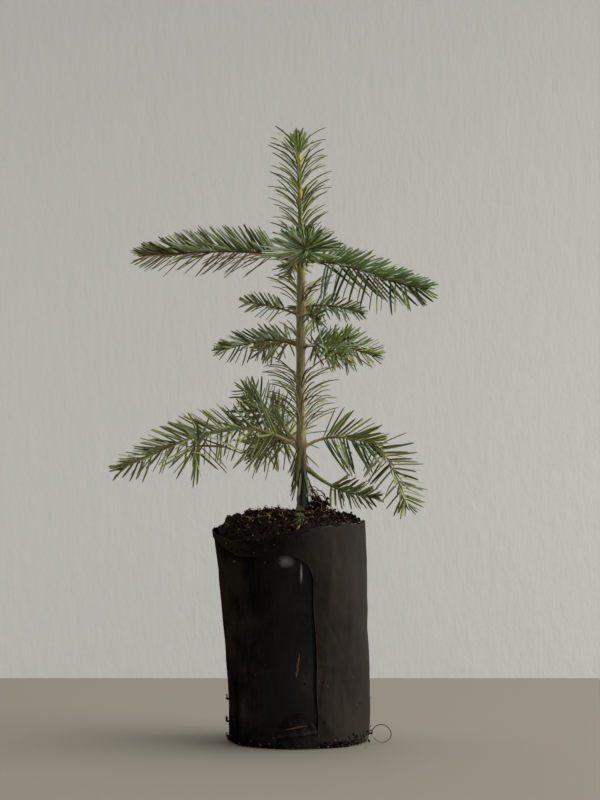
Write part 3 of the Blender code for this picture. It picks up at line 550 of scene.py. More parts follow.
def blown_film(name, clean, dust, roughness, dusty, gloss, painted_highlights=()):
    """Black polyethylene film, blown and wrapped: dark with a soft waxy sheen. Stretch lines run up it about
    1.5 mm apart, faint crinkles lie 3 mm apart, and dried soil dulls it in clouds some 20 mm wide. The dust tone is
    mixed in most of all on its right side, partly as real dust and partly as painted light from the right. Its left
    side has lost its shine under a skin of soil. Each painted highlight is a pale patch where a fold would catch
    the light: (middle, size, strength)."""
    constants = {"IOR": 1.51, "Specular IOR Level": gloss}
    patterns = (20, 5), (1.5, 3, 0.12), (3.2, 4), (0.9, 2)
    material, add, shader, place, noises = start_material(name, constants, *patterns)
    clouds, stretch, crinkles, grit = noises
    sideways = add("SeparateXYZ", {0: place}, "X")
    soiled = add("MapRange", {0: sideways, 1: FILM_SOILED[0], 2: FILM_SOILED[1], 3: 1.8, 4: 0.35})
    # Painted light: more of the dust tone on the film's right side, which faces the light; partly real dust.
    dust_and_lit_side = add("MapRange", {0: sideways, 1: FILM_DUST_AND_LIT_SIDE[0], 2: FILM_DUST_AND_LIT_SIDE[1], 3: 0.35, 4: 1.0})
    soil_and_lit_side = add("Math", {0: soiled, 1: dust_and_lit_side}, operation="MAXIMUM")
    cloudy = add("MapRange", {0: clouds, 1: 0.62 - dusty, 2: 0.85 - dusty / 2})
    dust_and_lit_share = add("Math", {0: cloudy, 1: soil_and_lit_side}, operation="MULTIPLY")
    base = add("Mix", {0: dust_and_lit_share, 6: clean, 7: dust}, 2, data_type="RGBA")
    lines = add("MapRange", {0: stretch, 1: 0.45, 2: 0.75, 3: 0, 4: 0.3})
    faint = add("Math", {0: lines, 1: soil_and_lit_side}, operation="MULTIPLY")
    base = add("Mix", {0: faint, 6: base, 7: shade(dust, 1.25)}, 2, data_type="RGBA")
    specks = add("MapRange", {0: grit, 1: 0.68, 2: 0.74, 3: 0, 4: 0.5})
    base = add("Mix", {0: specks, 6: base, 7: shade(clean, 0.4)}, 2, data_type="RGBA")
    # Painted highlights: pale patches where the inner film's folds would catch the light.
    for middle, size, strength in painted_highlights:
        moved = add("VectorMath", {0: place, 1: middle}, operation="SUBTRACT")
        shrunk = add("VectorMath", {0: moved, 1: size}, operation="DIVIDE")
        away = add("VectorMath", {0: shrunk}, "Value", operation="LENGTH")
        highlight_fade = add("MapRange", {0: away, 1: 0.2, 2: 1.0, 3: strength, 4: 0.0})
        highlight_share = add("Math", {0: highlight_fade, 1: crinkles}, operation="MULTIPLY")
        base = add("Mix", {0: highlight_share, 6: base, 7: PAINTED_HIGHLIGHT_GREY}, 2, data_type="RGBA")
    relief = add("Math", {0: crinkles, 1: stretch}, operation="ADD")
    spread = {0: clouds, 1: 0.35, 2: 0.7, 3: roughness - 0.08, 4: roughness + 0.14}
    shine = {0: sideways, 1: FILM_DULL[0], 2: FILM_DULL[1], 3: 0.0, 4: gloss}
    bump = add("Bump", {"Height": relief, "Distance": 0.2 * MM, "Strength": 0.3})
    set_inputs(shader, {"Base Color": base, "Roughness": add("MapRange", spread), "Normal": bump})
    set_inputs(shader, {"Specular IOR Level": add("MapRange", shine)})
    return material


def painted_stage(name, colour, spacing, height):
    """Emulsion paint on plaster, brushed upwards: matt, with soft raised strokes. spacing is in millimetres."""
    patterns = (spacing, 4, 0.4), (spacing, 4, 0.12)
    constants = {"Roughness": 0.9, "Specular IOR Level": 0.2}
    material, add, shader, _, (raised, strokes) = start_material(name, constants, *patterns)
    tones = {0: strokes, 6: shade(colour, 0.96), 7: shade(colour, 1.04)}
    base = add("Mix", tones, 2, data_type="RGBA")
    bump = add("Bump", {"Height": raised, "Distance": height, "Strength": 0.5})
    set_inputs(shader, {"Base Color": base, "Normal": bump})
    return material


# ---- the trunk's and the limbs' lines ----


def trunk_share(height):
    """How far up the trunk a height is, from 0 at its foot to 1 at its tip."""
    return (height - TRUNK_FOOT) / (TRUNK_TIP - TRUNK_FOOT)


def trunk_centre(height):
    """x = lean (1 - s)^3 + sway sin(pi s^1.9), y = half the sway sin(2 pi s), for s up the trunk."""
    share = np.clip(trunk_share(height), 0, 1)
    x = TRUNK_LEAN * (1 - share) ** 3 + TRUNK_SWAY * np.sin(math.pi * share**1.9)
    y = 0.5 * TRUNK_SWAY * np.sin(TURN * share)
    return np.stack([x, y, height], -1)


def trunk_radius(height):
    """An even taper to the top whorl, a thinner leader, and a flare that fades upwards from the foot."""
    wood = mix(WOOD_RADIUS, WOOD_TOP_RADIUS, trunk_share(height) / trunk_share(TOP_WHORL))
    leader = mix(LEADER_RADIUS, LEADER_TIP_RADIUS, (height - TOP_WHORL) / (TRUNK_TIP - TOP_WHORL))
    flare = FLARE * np.exp(-np.maximum(height - TRUNK_FOOT, 0) / FLARE_HEIGHT)
    return mix(wood, leader, smooth_step(LEADER_FROM, LEADER_FULL, height)) + flare


def arch_shape(share, crest):
    """A cubic arch: p (1 - p) (1 + skew (1 - 2 p)), scaled to 1 at its crest."""
    tilt = 1 - 2 * crest
    skew = tilt / (2 * crest * (1 - crest) - tilt**2)
    top = crest * (1 - crest) * (1 + skew * (1 - 2 * crest))
    return share * (1 - share) * (1 + skew * (1 - 2 * share)) / top


def limb_line(limb, start, share):
    """start + reach s along the heading + (rise s + arch arch_shape(s)) up."""
    share = np.asarray(share, float)
    outward = heading_vector(np.radians(limb.heading))
    lift = limb.rise * share + limb.arch * arch_shape(share, limb.crest)
    return start + (outward * limb.reach * share[..., None] + Z_UP * lift[..., None]) * MM


def limb_starts():
    """Where each limb's centre line leaves the trunk, or the end of the limb that it follows."""
    starts = {}
    for limb in LIMBS:
        outward = heading_vector(np.radians(limb.heading))
        if limb.follows:
            before = next(other for other in LIMBS if other.name == limb.follows)
            starts[limb.name] = limb_line(before, starts[limb.follows], 1.0) + outward * BEND_GAP
            continue
        height = limb.height * MM
        slope = unit(limb_line(limb, np.zeros(3), 0.02))[2]
        out = trunk_radius(height) + 0.3 * MM + abs(slope) * limb.radius * MM
        starts[limb.name] = trunk_centre(np.float64(height)) + outward * out
    return starts


STARTS = limb_starts()


def twig_line(limb, twig, share):
    """A side twig: straight out in plan at its turn from the limb, with its rise growing as s^sag."""
    at, turn, reach, rise = twig
    outward = heading_vector(np.radians(limb.heading + turn))
    start = limb_line(limb, STARTS[limb.name], at)
    return start + (outward * reach * share[:, None] + Z_UP * (rise * share**TWIG_SAG)[:, None]) * MM


def limb_radius(limb, share):
    """The radius at the limb's foot, less LIMB_TAPER of it by the tip, falling evenly."""
    return limb.radius * MM * (1 - LIMB_TAPER * share)


# ---- bark ----

TRUNK_SIDES = 40
TRUNK_ROWS = 620
WHORL_RING = 0.22 * MM  # how high a whorl's ring stands
SCAR_RING = 0.07 * MM  # how high the rings of bud-scale scars above it stand, and where
SCAR_RINGS = (1.6, 2.5, 3.3)
FLARE_LOBES = 4
LIMB_SIDES = 12
LIMB_STEP = 0.55 * MM
TWIG_STEP = 0.5 * MM
LIMB_ROOTED = 1.1 * MM  # how far a limb's bark starts inside the trunk's
LIMB_WAVER = 0.22 * MM


def spiral_bumps(angle, height, radius, spacing, size):
    """Small round cushions on a golden-angle spiral up a stem, each exp(-(distance / size)^2)."""
    count = int((height.max() - height.min()) / spacing)
    index = np.arange(count)
    at = height.min() + (index + 0.5) * spacing
    turn = index * GOLDEN
    total = np.zeros(angle.shape)
    for first in range(0, count, CUSHIONS_AT_ONCE):
        part = slice(first, first + CUSHIONS_AT_ONCE)
        around = (angle[..., None] - turn[part] + math.pi) % TURN - math.pi
        apart = ((around * radius[..., None]) ** 2 + (height[..., None] - at[part]) ** 2) / size**2
        total += np.exp(-apart).sum(-1)
    return total


def make_trunk_bark(settings):
    """The trunk as radius (height, turn): the solid's taper and flare, plus ridges that run up it, needle
    cushions on a spiral, a collar under each limb, rings at each whorl and lobes in the flare."""
    height = np.linspace(TRUNK_FOOT - 1.6 * MM, TRUNK_TIP + 0.5 * MM, TRUNK_ROWS)
    rows, columns = np.meshgrid(height, -TURN * np.arange(TRUNK_SIDES) / TRUNK_SIDES, indexing="ij")
    base = np.broadcast_to(trunk_radius(height)[:, None], rows.shape)
    skin = np.stack([np.cos(columns) * 2.2 * MM, np.sin(columns) * 2.2 * MM, rows * 0.14], -1)
    radius = base + ripple(skin, 1.5 * MM, SEED, 3) * settings.relief
    cushions = spiral_bumps(columns, rows, base, 0.62 * MM, 0.42 * MM) * settings.scars
    radius += cushions * mix(0.55, 1.0, smooth_step(LEADER_FROM, LEADER_FULL, rows))
    for whorl in WHORLS:
        radius += WHORL_RING * np.exp(-(((rows - whorl) / (2.2 * MM)) ** 2))
        for step in SCAR_RINGS:
            radius += SCAR_RING * np.exp(-(((rows - whorl - step * MM) / (0.3 * MM)) ** 2))
    fading = np.exp(-np.maximum(rows - TRUNK_FOOT, 0) / (7 * MM))
    radius += 0.35 * MM * np.cos(FLARE_LOBES * columns + 0.8) * fading
    for limb in LIMBS:
        if limb.follows:
            continue
        around = (columns - math.radians(limb.heading) + math.pi) % TURN - math.pi
        apart = (around * base / (1.5 * MM)) ** 2 + ((rows - limb.height * MM) / (1.9 * MM)) ** 2
        radius += np.exp(-apart) * settings.collar
    points = trunk_centre(height)[:, None] + heading_vector(columns) * radius[..., None]
    return Batch().add_tube(points[:, ::-1])


def limb_paths():
    """The whole centre line of every limb, each joined to the one that follows it, and of every side twig:
    (limb, path, radii at its points, bark slot)."""
    paths = []
    for limb in LIMBS:
        green = limb.name == "lowest_right"
        slot = 2 if green else int(limb.name.startswith("low"))
        share = np.linspace(0, 1, int(math.hypot(limb.reach, limb.rise) * MM / LIMB_STEP))
        line = limb_line(limb, STARTS[limb.name], share)
        radii = limb_radius(limb, share) * BARK_SHARE
        if limb.follows:
            _, before, thick, _ = paths.pop(-1)
            line = np.concatenate([before, line])
            radii = np.concatenate([thick, radii])
        else:
            inner = line[0] - unit(line[1] - line[0]) * LIMB_ROOTED
            line = np.concatenate([inner[None], line])
            radii = np.concatenate([radii[:1], radii])
            swell, fade = STOUT_FOOT if green else BRANCH_FOOT
            radii = radii * (1 + swell * np.exp(-np.linalg.norm(line - line[0], axis=1) / fade))
        paths.append((limb, line, radii, slot))
        for twig in limb.twigs:
            share = np.linspace(0, 1, int(twig[2] * MM / TWIG_STEP))
            thin = limb_radius(limb, 0) * BARK_SHARE * mix(*TWIG_RADII, share)
            paths.append((limb, twig_line(limb, twig, share), thin, slot))
    return paths


def make_limb_bark(settings):
    """Every limb and twig as a tube along its line: the solid's taper, plus ridges along it, needle cushions on a
    spiral and a slight waver of its line."""
    batch = Batch()
    for number, (_, line, radii, slot) in enumerate(limb_paths()):
        along = distance_along(line)
        sideways = unit(np.cross(line[-1] - line[0], Z_UP))
        line = line + ripple(line, 9 * MM, SEED + number, 2)[:, None] * sideways * LIMB_WAVER
        rows, columns = np.meshgrid(along, -TURN * np.arange(LIMB_SIDES) / LIMB_SIDES, indexing="ij")
        thick = np.broadcast_to(radii[:, None], rows.shape)
        skin = np.stack([np.cos(columns) * MM, np.sin(columns) * MM, rows * 0.2 + number * 0.1], -1)
        ridges = ripple(skin, 0.9 * MM, SEED + number, 2) * settings.relief
        cushions = spiral_bumps(columns, rows, thick, 0.55 * MM, 0.36 * MM) * settings.scars * 0.8
        tip = 1 - 0.5 * smooth_step(along[-1] - 1.5 * MM, along[-1], rows)
        batch.add_tube(tube_rings(line, (thick + ridges + cushions) * tip, LIMB_SIDES), slot)
    return batch


# ---- buds ----

SIDE_BUD_HEADINGS = (0.5, 2.5, 4.4)  # of the small buds round the leader's end bud, in radians
TWIG_BUD = 0.75  # size of a twig's buds against a limb's
LONG_LIMB = 80  # rings from which a line counts as a limb and not as a twig


def bud_points(foot, direction, length, radius, rows=26, sides=20):
    """A bud: radius sin(pi u^0.72)^0.8 eased to a point, over u from foot to tip, with scales raised where the
    spiral sin(5 t + 26 u) peaks."""
    share = np.linspace(0.02, 0.985, rows)[:, None]
    turn = TURN * np.arange(sides) / sides
    swell = np.sin(math.pi * share**0.72) ** 0.8 * (1 - 0.35 * share) + 0.1 * (1 - share)
    scales = 1 + 0.13 * np.maximum(np.sin(5 * turn + 26 * share), 0) ** 2
    side = unit(np.cross(direction, [0.3, 0.9, 0.1]))
    other = np.cross(direction, side)
    spokes = side * np.cos(turn)[:, None] + other * np.sin(turn)[:, None]
    return foot + direction * (share * length)[..., None] + spokes * (swell * scales * radius)[..., None]


def make_top_buds():
    """The leader's end bud, with three smaller ones round its foot."""
    batch = Batch()
    foot = trunk_centre(np.float64(TRUNK_TIP))
    lean = unit(np.array([BUD_LEAN, 0, BUD_LENGTH]))
    batch.add_tube(bud_points(foot - lean * 0.4 * MM, lean, BUD_LENGTH + 0.6 * MM, BUD_RADIUS * 0.92))
    for heading in SIDE_BUD_HEADINGS:
        out = heading_vector(np.float64(heading))
        way = unit(out * 0.5 + Z_UP)
        batch.add_tube(bud_points(foot + out * 0.75 * MM - Z_UP * 0.5 * MM, way, 3.3 * MM, 0.85 * MM, 18, 14))
    return batch


def make_limb_buds():
    """A cluster of three small buds at the end of each limb and twig, smaller on the short ones."""
    batch = Batch()
    for _, line, _, _ in limb_paths():
        way = unit(line[-1] - line[-4])
        size = 1.0 if len(line) > LONG_LIMB else TWIG_BUD
        side = unit(np.cross(way, Z_UP))
        batch.add_tube(bud_points(line[-1] - way * 0.5 * MM, way, 3.0 * MM * size, 0.85 * MM * size, 16, 12))
        for turn in (-1, 1):
            out = unit(way + side * 0.75 * turn)
            foot = line[-1] - way * 1.1 * MM + side * 0.35 * MM * turn
            batch.add_tube(bud_points(foot, out, 2.0 * MM * size, 0.58 * MM * size, 12, 10))
    return batch


# ---- needles ----

# A needle's rings: shares of its length, and its width there as a share of the full width.
NEEDLE_RINGS = np.array([0.0, 0.06, 0.2, 0.42, 0.66, 0.86, 0.96])
RING_WIDTHS = np.array([0.38, 0.62, 0.94, 1.0, 0.96, 0.78, 0.46])

LOWER_SIDE = -0.1  # cosine of the turn past which a needle counts as a lower one
RANK_TURN = 0.3  # radians from straight down at which each rank of crossing needles stands

Growth = namedtuple("Growth", "root direction length normal bow region tone")


def limb_region(limb):
    """A limb's needles may come near its own stem, and near the one that it follows or that follows it."""
    return limb.name.replace("_tip", "")


def stem_points():
    """Points about a millimetre apart on each region's stems: limbs, twigs and trunk. (region, place, radius)"""
    regions, places, radii = [], [], []
    for limb, line, thick, _ in limb_paths():
        step = slice(0, None, 2)
        regions += [limb_region(limb)] * len(line[step])
        places.append(line[step])
        radii.append(thick[step])
    heights = np.arange(TRUNK_FOOT, TRUNK_TIP, MM)
    regions += ["trunk"] * len(heights)
    places.append(trunk_centre(heights))
    radii.append(trunk_radius(heights))
    return np.array(regions), np.concatenate(places), np.concatenate(radii)


def grow_on_line(limb, line, twig, look, density, rng):
    """Needles on a golden-angle spiral along a line, crowded to its upper side. Each leans from the line by its
    side's lean, less towards the tip, and is shorter towards the tip and on the upper side. On a side twig they
    stand out further. Candidates come in sets: (needles, TRIES, ...)."""
    first = 0.1 if twig else 0.02
    along = distance_along(line)
    count = max(int(along[-1] * (1 - first) / MM * density), 3)
    share = (mix(first, 0.995, (np.arange(count) + rng.uniform(0, 1, count)) / count))[:, None]
    share = np.clip(share + rng.normal(0, 0.006, (count, TRIES)), first, 0.998)
    turn = rng.uniform(0, TURN) + GOLDEN * np.arange(count)[:, None] + rng.normal(0, 0.35, (count, TRIES))
    turn = turn - look.crowd * np.sin(turn)  # turn is from straight up
    rank = np.zeros((count, 1))
    if look.cross:
        share, turn, rank = two_ranks(share, turn, rng)
        count = len(share)
    at = share * along[-1]
    place = np.stack([np.interp(at, along, line[:, axis]) for axis in range(3)], -1)
    slopes = np.gradient(line, along, axis=0)
    tangent = unit(np.stack([np.interp(at, along, slopes[:, axis]) for axis in range(3)], -1))
    side = unit(np.cross(tangent, Z_UP))
    above = np.cross(side, tangent)
    around = above * np.cos(turn)[..., None] + side * np.sin(turn)[..., None]
    above_share = (1 + around[..., 2]) / 2
    upper_lean, tip_lean = (TWIG_LEAN, TWIG_LEAN_AT_TIP) if twig else (look.lean, look.tip)
    crossed = limb.below - look.cross * rank
    lean = mix(mix(crossed, upper_lean, above_share), tip_lean, share**3)
    lean = np.radians(lean + rng.normal(0, ANGLE_SPREAD * 0.45, (count, TRIES)))[..., None]
    direction = tangent * np.cos(lean) + around * np.sin(lean)
    size = np.interp(above_share, [0.1, 0.5, 1.0], [look.hang, 1.0, TWIG_TOP if twig else look.top])
    size = size * look.longer * mix(1, SHORTEST, share**4) * (TWIG_LENGTH if twig else 1)
    length = limb.length * MM * size * rng.uniform(1 - LENGTH_SPREAD, 1.02, (count, TRIES))
    root = place + direction * 0.15 * MM
    loose = mix(0.5, 0.33, above_share)[..., None]
    sideways = unit(np.cross(direction, tangent)) * np.sign(above[..., 2:])
    flat = 0 if twig else look.flat
    forward = mix(tangent * 0.75 + Z_UP * 0.55, sideways, (flat * (1 - above_share))[..., None])
    facing = unit(forward + rng.normal(0, 1, (count, TRIES, 3)) * loose)
    bow = -tangent * mix(0.6, 0.25, above_share)[..., None] + rng.normal(0, 0.18, (count, TRIES, 3))
    tone = deal_tones(look, above_share, rng)
    return Growth(root, direction, length, facing, bow, limb_region(limb), tone)


def two_ranks(share, turn, rng):
    """Half the lower needles drop out, and the others stand by turns in two ranks, on either side of straight
    down. The ranks lean differently, so they cross as seen from the side."""
    lower = np.cos(turn[:, :1]) < LOWER_SIDE
    order = np.cumsum(lower, axis=0)
    kept = ~(lower & (order % 2 == 0))[:, 0]
    rank = (order // 2 % 2)[kept]
    below = math.pi + RANK_TURN * (2 * rank - 1) + rng.normal(0, 0.07, (kept.sum(), TRIES))
    return share[kept], np.where(lower[kept], below, turn[kept]), rank


def deal_tones(look, above_share, rng):
    """A tone for each needle from its spray's weights, which change from its upper to its lower side."""
    upper = rng.choice(len(TONES), above_share.shape, p=np.array(look.above) / sum(look.above))
    lower = rng.choice(len(TONES), above_share.shape, p=np.array(look.below) / sum(look.below))
    return np.where(rng.uniform(0.25, 0.75, above_share.shape) < above_share, upper, lower)


def grow_on_trunk(sleeve, look, rng, scale):
    """Needles on a golden-angle spiral round the trunk: each rises by the sleeve's lift and arches over by
    arch s (1 - s)."""
    count = int((sleeve.top - sleeve.bottom) * sleeve.density * scale)
    height = mix(sleeve.bottom, sleeve.top, (np.arange(count) + 0.5) / count)[:, None] * MM
    height = height + rng.normal(0, 0.5 * MM, (count, TRIES))
    turn = rng.uniform(0, TURN) + GOLDEN * np.arange(count)[:, None] + rng.normal(0, 0.25, (count, TRIES))
    around = heading_vector(turn)
    lift = np.radians(sleeve.lift + rng.normal(0, ANGLE_SPREAD * 0.7, (count, TRIES)))[..., None]
    direction = around * np.cos(lift) + Z_UP * np.sin(lift)
    root = trunk_centre(height) + around * (trunk_radius(height) - 0.1 * MM)[..., None]
    length = sleeve.length * MM * rng.uniform(0.78, 1.08, (count, TRIES))
    facing = unit(Z_UP * np.cos(lift) - around * np.sin(lift) + rng.normal(0, 0.3, (count, TRIES, 3)))
    arch = sleeve.arch * rng.uniform(0.6, 1.25, (count, TRIES))
    bow = Z_UP * arch[..., None] + rng.normal(0, 0.05, (count, TRIES, 3))
    tone = deal_tones(look, rng.uniform(0, 1, (count, TRIES)), rng)
    return Growth(root, direction, length, facing, bow, "trunk", tone)


def line_points(growth, curl, shares):
    """root + length (s direction + curl s (1 - s) bow), for each candidate and each share."""
    straight = growth.direction[..., None, :] * shares[:, None]
    bowed = growth.bow[..., None, :] * (shares * (1 - shares))[:, None] * curl
    return growth.root[..., None, :] + growth.length[..., None, None] * (straight + bowed)


def in_own_space(growth, curl, stems):
    """True for a candidate whose middle is nearest its own stem, whose whole length is clear of the others, and
    that stays off the soil."""
    regions, places, radii = stems
    samples = line_points(growth, curl, SAMPLES)
    shape = samples.shape[:-1]
    flat = samples.reshape(-1, 3)
    own = regions == growth.region
    nearest_own = np.full(len(flat), np.inf)
    nearest_other = np.full(len(flat), np.inf)
    for first in range(0, len(flat), TESTED_AT_ONCE):
        chunk = slice(first, first + TESTED_AT_ONCE)
        part = flat[chunk]
        squares = (part**2).sum(1)[:, None] + (places**2).sum(1) - 2 * part @ places.T
        apart = np.sqrt(np.maximum(squares, 0))
        nearest_own[chunk] = apart[:, own].min(1)
        nearest_other[chunk] = (apart[:, ~own] - radii[~own]).min(1)
    nearest_own = nearest_own.reshape(shape)
    nearest_other = nearest_other.reshape(shape)
    half = len(SAMPLES) // 2
    ok = (nearest_own[..., :half] < nearest_other[..., :half] + NEAR_OWN).all(-1)
    ok &= (nearest_other > CLEAR_OF_LIMBS).all(-1)
    outward = np.hypot(samples[..., 0] - BALL_LEAN, samples[..., 1])
    low = (samples[..., 2] < SOIL_TOP + OFF_SOIL) & (outward < BALL_RADIUS + 4 * MM)
    return ok & ~low.any(-1)


def pick_clear(growth, curl, ok, taken):
    """For each needle, its first candidate that is in its space and passes through no cell that another needle
    has taken. A needle with none is skipped."""
    cells = np.floor(line_points(growth, curl, CELL_SAMPLES) / CELL).astype(np.int64) + FIRST_CELL
    keys = (cells[..., 0] * CELLS_ACROSS + cells[..., 1]) * CELLS_ACROSS + cells[..., 2]
    chosen = []
    for needle in range(len(keys)):
        for attempt in range(TRIES):
            mine = set(keys[needle, attempt].tolist())
            if ok[needle, attempt] and not mine & taken:
                taken |= mine
                chosen.append((needle, attempt))
                break
    return take(growth, tuple(np.array(chosen, int).reshape(-1, 2).T))


def take(growth, picks):
    """The same growth with only the candidates picked."""
    return Growth(*[field if isinstance(field, str) else field[picks] for field in growth])


def needle_surface(growth, curl, settings, batch):
    """Each needle as rings of four corners, left edge, groove, right edge and keel, along its bowed line, closed
    by a quad at the root and a point at the tip. Upper and under sides take their own slots."""
    count = len(growth.length)
    if not count:
        return
    shares = NEEDLE_RINGS
    middle = line_points(growth, curl, shares)
    along = unit(growth.direction[:, None] + growth.bow[:, None] * (1 - 2 * shares)[:, None] * curl)
    across = unit(np.cross(along, growth.normal[:, None]))
    upward = np.cross(across, along)
    spread = np.random.default_rng(SEED + count).uniform(0.86, 1.1, (count, 1))
    spread = np.where(growth.tone[:, None] == TONES.index("dry"), spread * DRY_WIDTH, spread)
    half = (RING_WIDTHS * settings.width / 2 * spread)[..., None]
    thick = (np.sqrt(RING_WIDTHS) * settings.thickness)[None, :, None]
    left = middle - across * half + upward * thick * 0.18
    groove = middle + upward * thick * 0.04
    right = middle + across * half + upward * thick * 0.18
    keel = middle - upward * thick * 0.72
    rings = np.stack([left, groove, right, keel], 2)
    tip = line_points(growth, curl, np.array([1.0]))
    points = np.concatenate([rings.reshape(count, -1, 3), tip], 1)
    per = points.shape[1]
    side_faces = grid_quads(len(shares), 4, True)
    last = (len(shares) - 1) * 4
    tip_faces = np.array([[last + k, last + (k + 1) % 4, per - 1] for k in range(4)])
    root_face = np.array([[3, 2, 1, 0]])
    offset = (np.arange(count) * per)[:, None, None]
    tone = growth.tone
    pale_below = (tone == TONES.index("deep")) | (tone == TONES.index("blue"))
    under = np.where(pale_below, len(TONES), tone)
    upper_first = np.tile([True, True, False, False], len(shares) - 1)
    side_slots = np.where(upper_first, tone[:, None], under[:, None])
    tip_slots = np.where([True, True, False, False], tone[:, None], under[:, None])
    sides = (side_faces + offset, side_slots)
    batch.add(points, sides, (tip_faces + offset, tip_slots), (root_face + offset, under[:, None]))


def all_growth(settings):
    """Every needle on the plant, as (node, growth, curl), limbs first so that they keep their space."""
    stems = stem_points()
    taken = set()
    grown = []
    for number, limb in enumerate(LIMBS):
        look = LOOKS.get(limb.name, PLAIN_LOOK)
        rng = np.random.default_rng(SEED * 100 + number)
        lines = [limb_line(limb, STARTS[limb.name], np.linspace(limb.bare * 0.86, 1, 90))]
        lines += [twig_line(limb, twig, np.linspace(0, 1, 40)) for twig in limb.twigs]
        for order, line in enumerate(lines):
            density = look.density * settings.density * (TWIG_DENSITY if order else 1)
            growth = grow_on_line(limb, line, order > 0, look, density, rng)
            ok = in_own_space(growth, settings.curl, stems)
            grown.append((limb.name + "_needles", pick_clear(growth, settings.curl, ok, taken), settings.curl))
    for number, sleeve in enumerate(SLEEVES):
        look = LOOKS.get(sleeve.name, PLAIN_LOOK)
        rng = np.random.default_rng(SEED * 200 + number)
        growth = grow_on_trunk(sleeve, look, rng, settings.density)
        ok = in_own_space(growth, 1.0, stems)
        grown.append((sleeve.name, pick_clear(growth, 1.0, ok, taken), 1.0))
    return grown


def tip_crown(rng):
    """The needles packed round the leader's end bud, nearly upright."""
    count = TIP_NEEDLES
    turn = (GOLDEN * np.arange(count) + rng.normal(0, 0.2, count))[:, None]
    around = heading_vector(turn)
    height = TRUNK_TIP - np.linspace(0.2, 6, count)[:, None] * MM
    lift = np.radians(np.linspace(80, 44, count)[:, None] + rng.normal(0, 7, (count, 1)))[..., None]
    direction = around * np.cos(lift) + Z_UP * np.sin(lift)
    root = trunk_centre(height) + around * LEADER_TIP_RADIUS
    length = np.linspace(4.5, 9.5, count)[:, None] * MM * rng.uniform(0.85, 1.1, (count, 1))
    facing = unit(Z_UP - around * 0.8 + rng.normal(0, 0.2, (count, 1, 3)))
    bow = around * 0.35 + rng.normal(0, 0.05, (count, 1, 3))
    tone = rng.choice([0, 1, 1, 2, 4], (count, 1))
    return take(Growth(root, direction, length, facing, bow, "trunk", tone), (slice(None), 0))


# ---- root ball ----

SOIL_GAP = 0.3 * MM
SOIL_RADIUS = BALL_RADIUS - FILM - SOIL_GAP
SOIL_COLUMNS = 250
SOIL_ROWS = 88

# Loose bits on the mound: how many crumbs there are for each, the shares of the mound's radius that they lie
# between, how far they stay off the trunk, how high they are lifted and by what share of their size, their smallest
# and largest size, how many times larger some are, their shape, and their slots. Lengths are in millimetres.
Bits = namedtuple("Bits", "part inner outer clear lift raise_by small large grown shape slots")
CRUMBS = Bits(1, 0, 1, 1.2, 0, 0.35, 0.2, 0.55, (1, 1, 1, 2.2), (1, 0.8, 0.6), (0, 0, 0, 0, 1))
CLODS = Bits(24, 0.3, 0.96, 5, 0, 0, 1.0, 2.3, (1,), (1, 0.8, 0.7), (0,))
CHIPS = Bits(13, 0.2, 1, 2, 0.35, 0, 0.7, 1.9, (1,), (1, 0.5, 0.22), (1, 1, 1, 2))
HEAPED = Bits(0, 0, 0, 0.8, 0, 0, 0.5, 1.4, (1,), (1, 0.8, 0.7), (0, 0, 0, 1))
STRAWS = Bits(60, 0.2, 1, 4, 0.3, 0, 1.2, 2.6, (1,), (1, 0.12, 0.1), (2,))


def rim_height(heading):
    """A level height plus a tilt by the heading's cosine, less a dip by the cosine cubed from its own heading."""
    sag = np.maximum(0, np.cos(heading - RIM_DIP_HEADING)) ** 3
    return RIM_HEIGHT + RIM_TILT * np.cos(heading) - RIM_DIP * sag


def settle(points):
    """Slumps a turned shape as the solid does: it widens by share^1.6 and two sine bulges, leans by share^1.8,
    and its rim follows rim_height."""
    x, y, z = points[..., 0], points[..., 1], points[..., 2]
    heading = np.arctan2(y, x)
    share = np.maximum(z, 0) / RIM_HEIGHT
    widen = 1 + BALL_FLARE / BALL_RADIUS * share**1.6
    for times, phase, twist, size in BULGES:
        widen = widen + size * np.sin(times * heading + phase + twist * share)
    outward = np.hypot(x, y) / BALL_RADIUS
    raised = z + (rim_height(heading) - RIM_HEIGHT) * (share * outward) ** 3
    return np.stack([x * widen + BALL_LEAN * share**1.8, y * widen, raised], -1)


def turned(radius, heading, height):
    """A slumped point at this radius, heading and height."""
    radius, heading, height = np.broadcast_arrays(radius, heading, height)
    return settle(np.stack([radius * np.cos(heading), radius * np.sin(heading), height], -1))


def soil_height(outward):
    """A low dome: level in the middle, falling as the fourth power to just under the rim."""
    return mix(SOIL_TOP, RIM_HEIGHT - SOIL_BELOW_RIM, outward**4)


def mound_surface(place_x, place_y, roughness):
    """Height of the rough mound over a level place of the unslumped ball: the dome, plus lumps 9 mm and 3.4 mm
    apart, held down near the trunk and at the rim."""
    outward = np.hypot(place_x, place_y) / SOIL_RADIUS
    flat = np.stack([place_x, place_y, 0 * place_x], -1)
    lumps = ripple(flat, 9 * MM, SEED + 5, 3) * 0.75 + np.abs(ripple(flat, 3.4 * MM, SEED + 6, 3)) * 0.5
    hold = smooth_step(2.4 * MM, 7 * MM, np.hypot(place_x - 2 * MM, place_y))
    hold = hold * (1 - smooth_step(0.9, 1.0, outward) * 0.7)
    return soil_height(np.minimum(outward, 1)) + lumps * roughness * hold


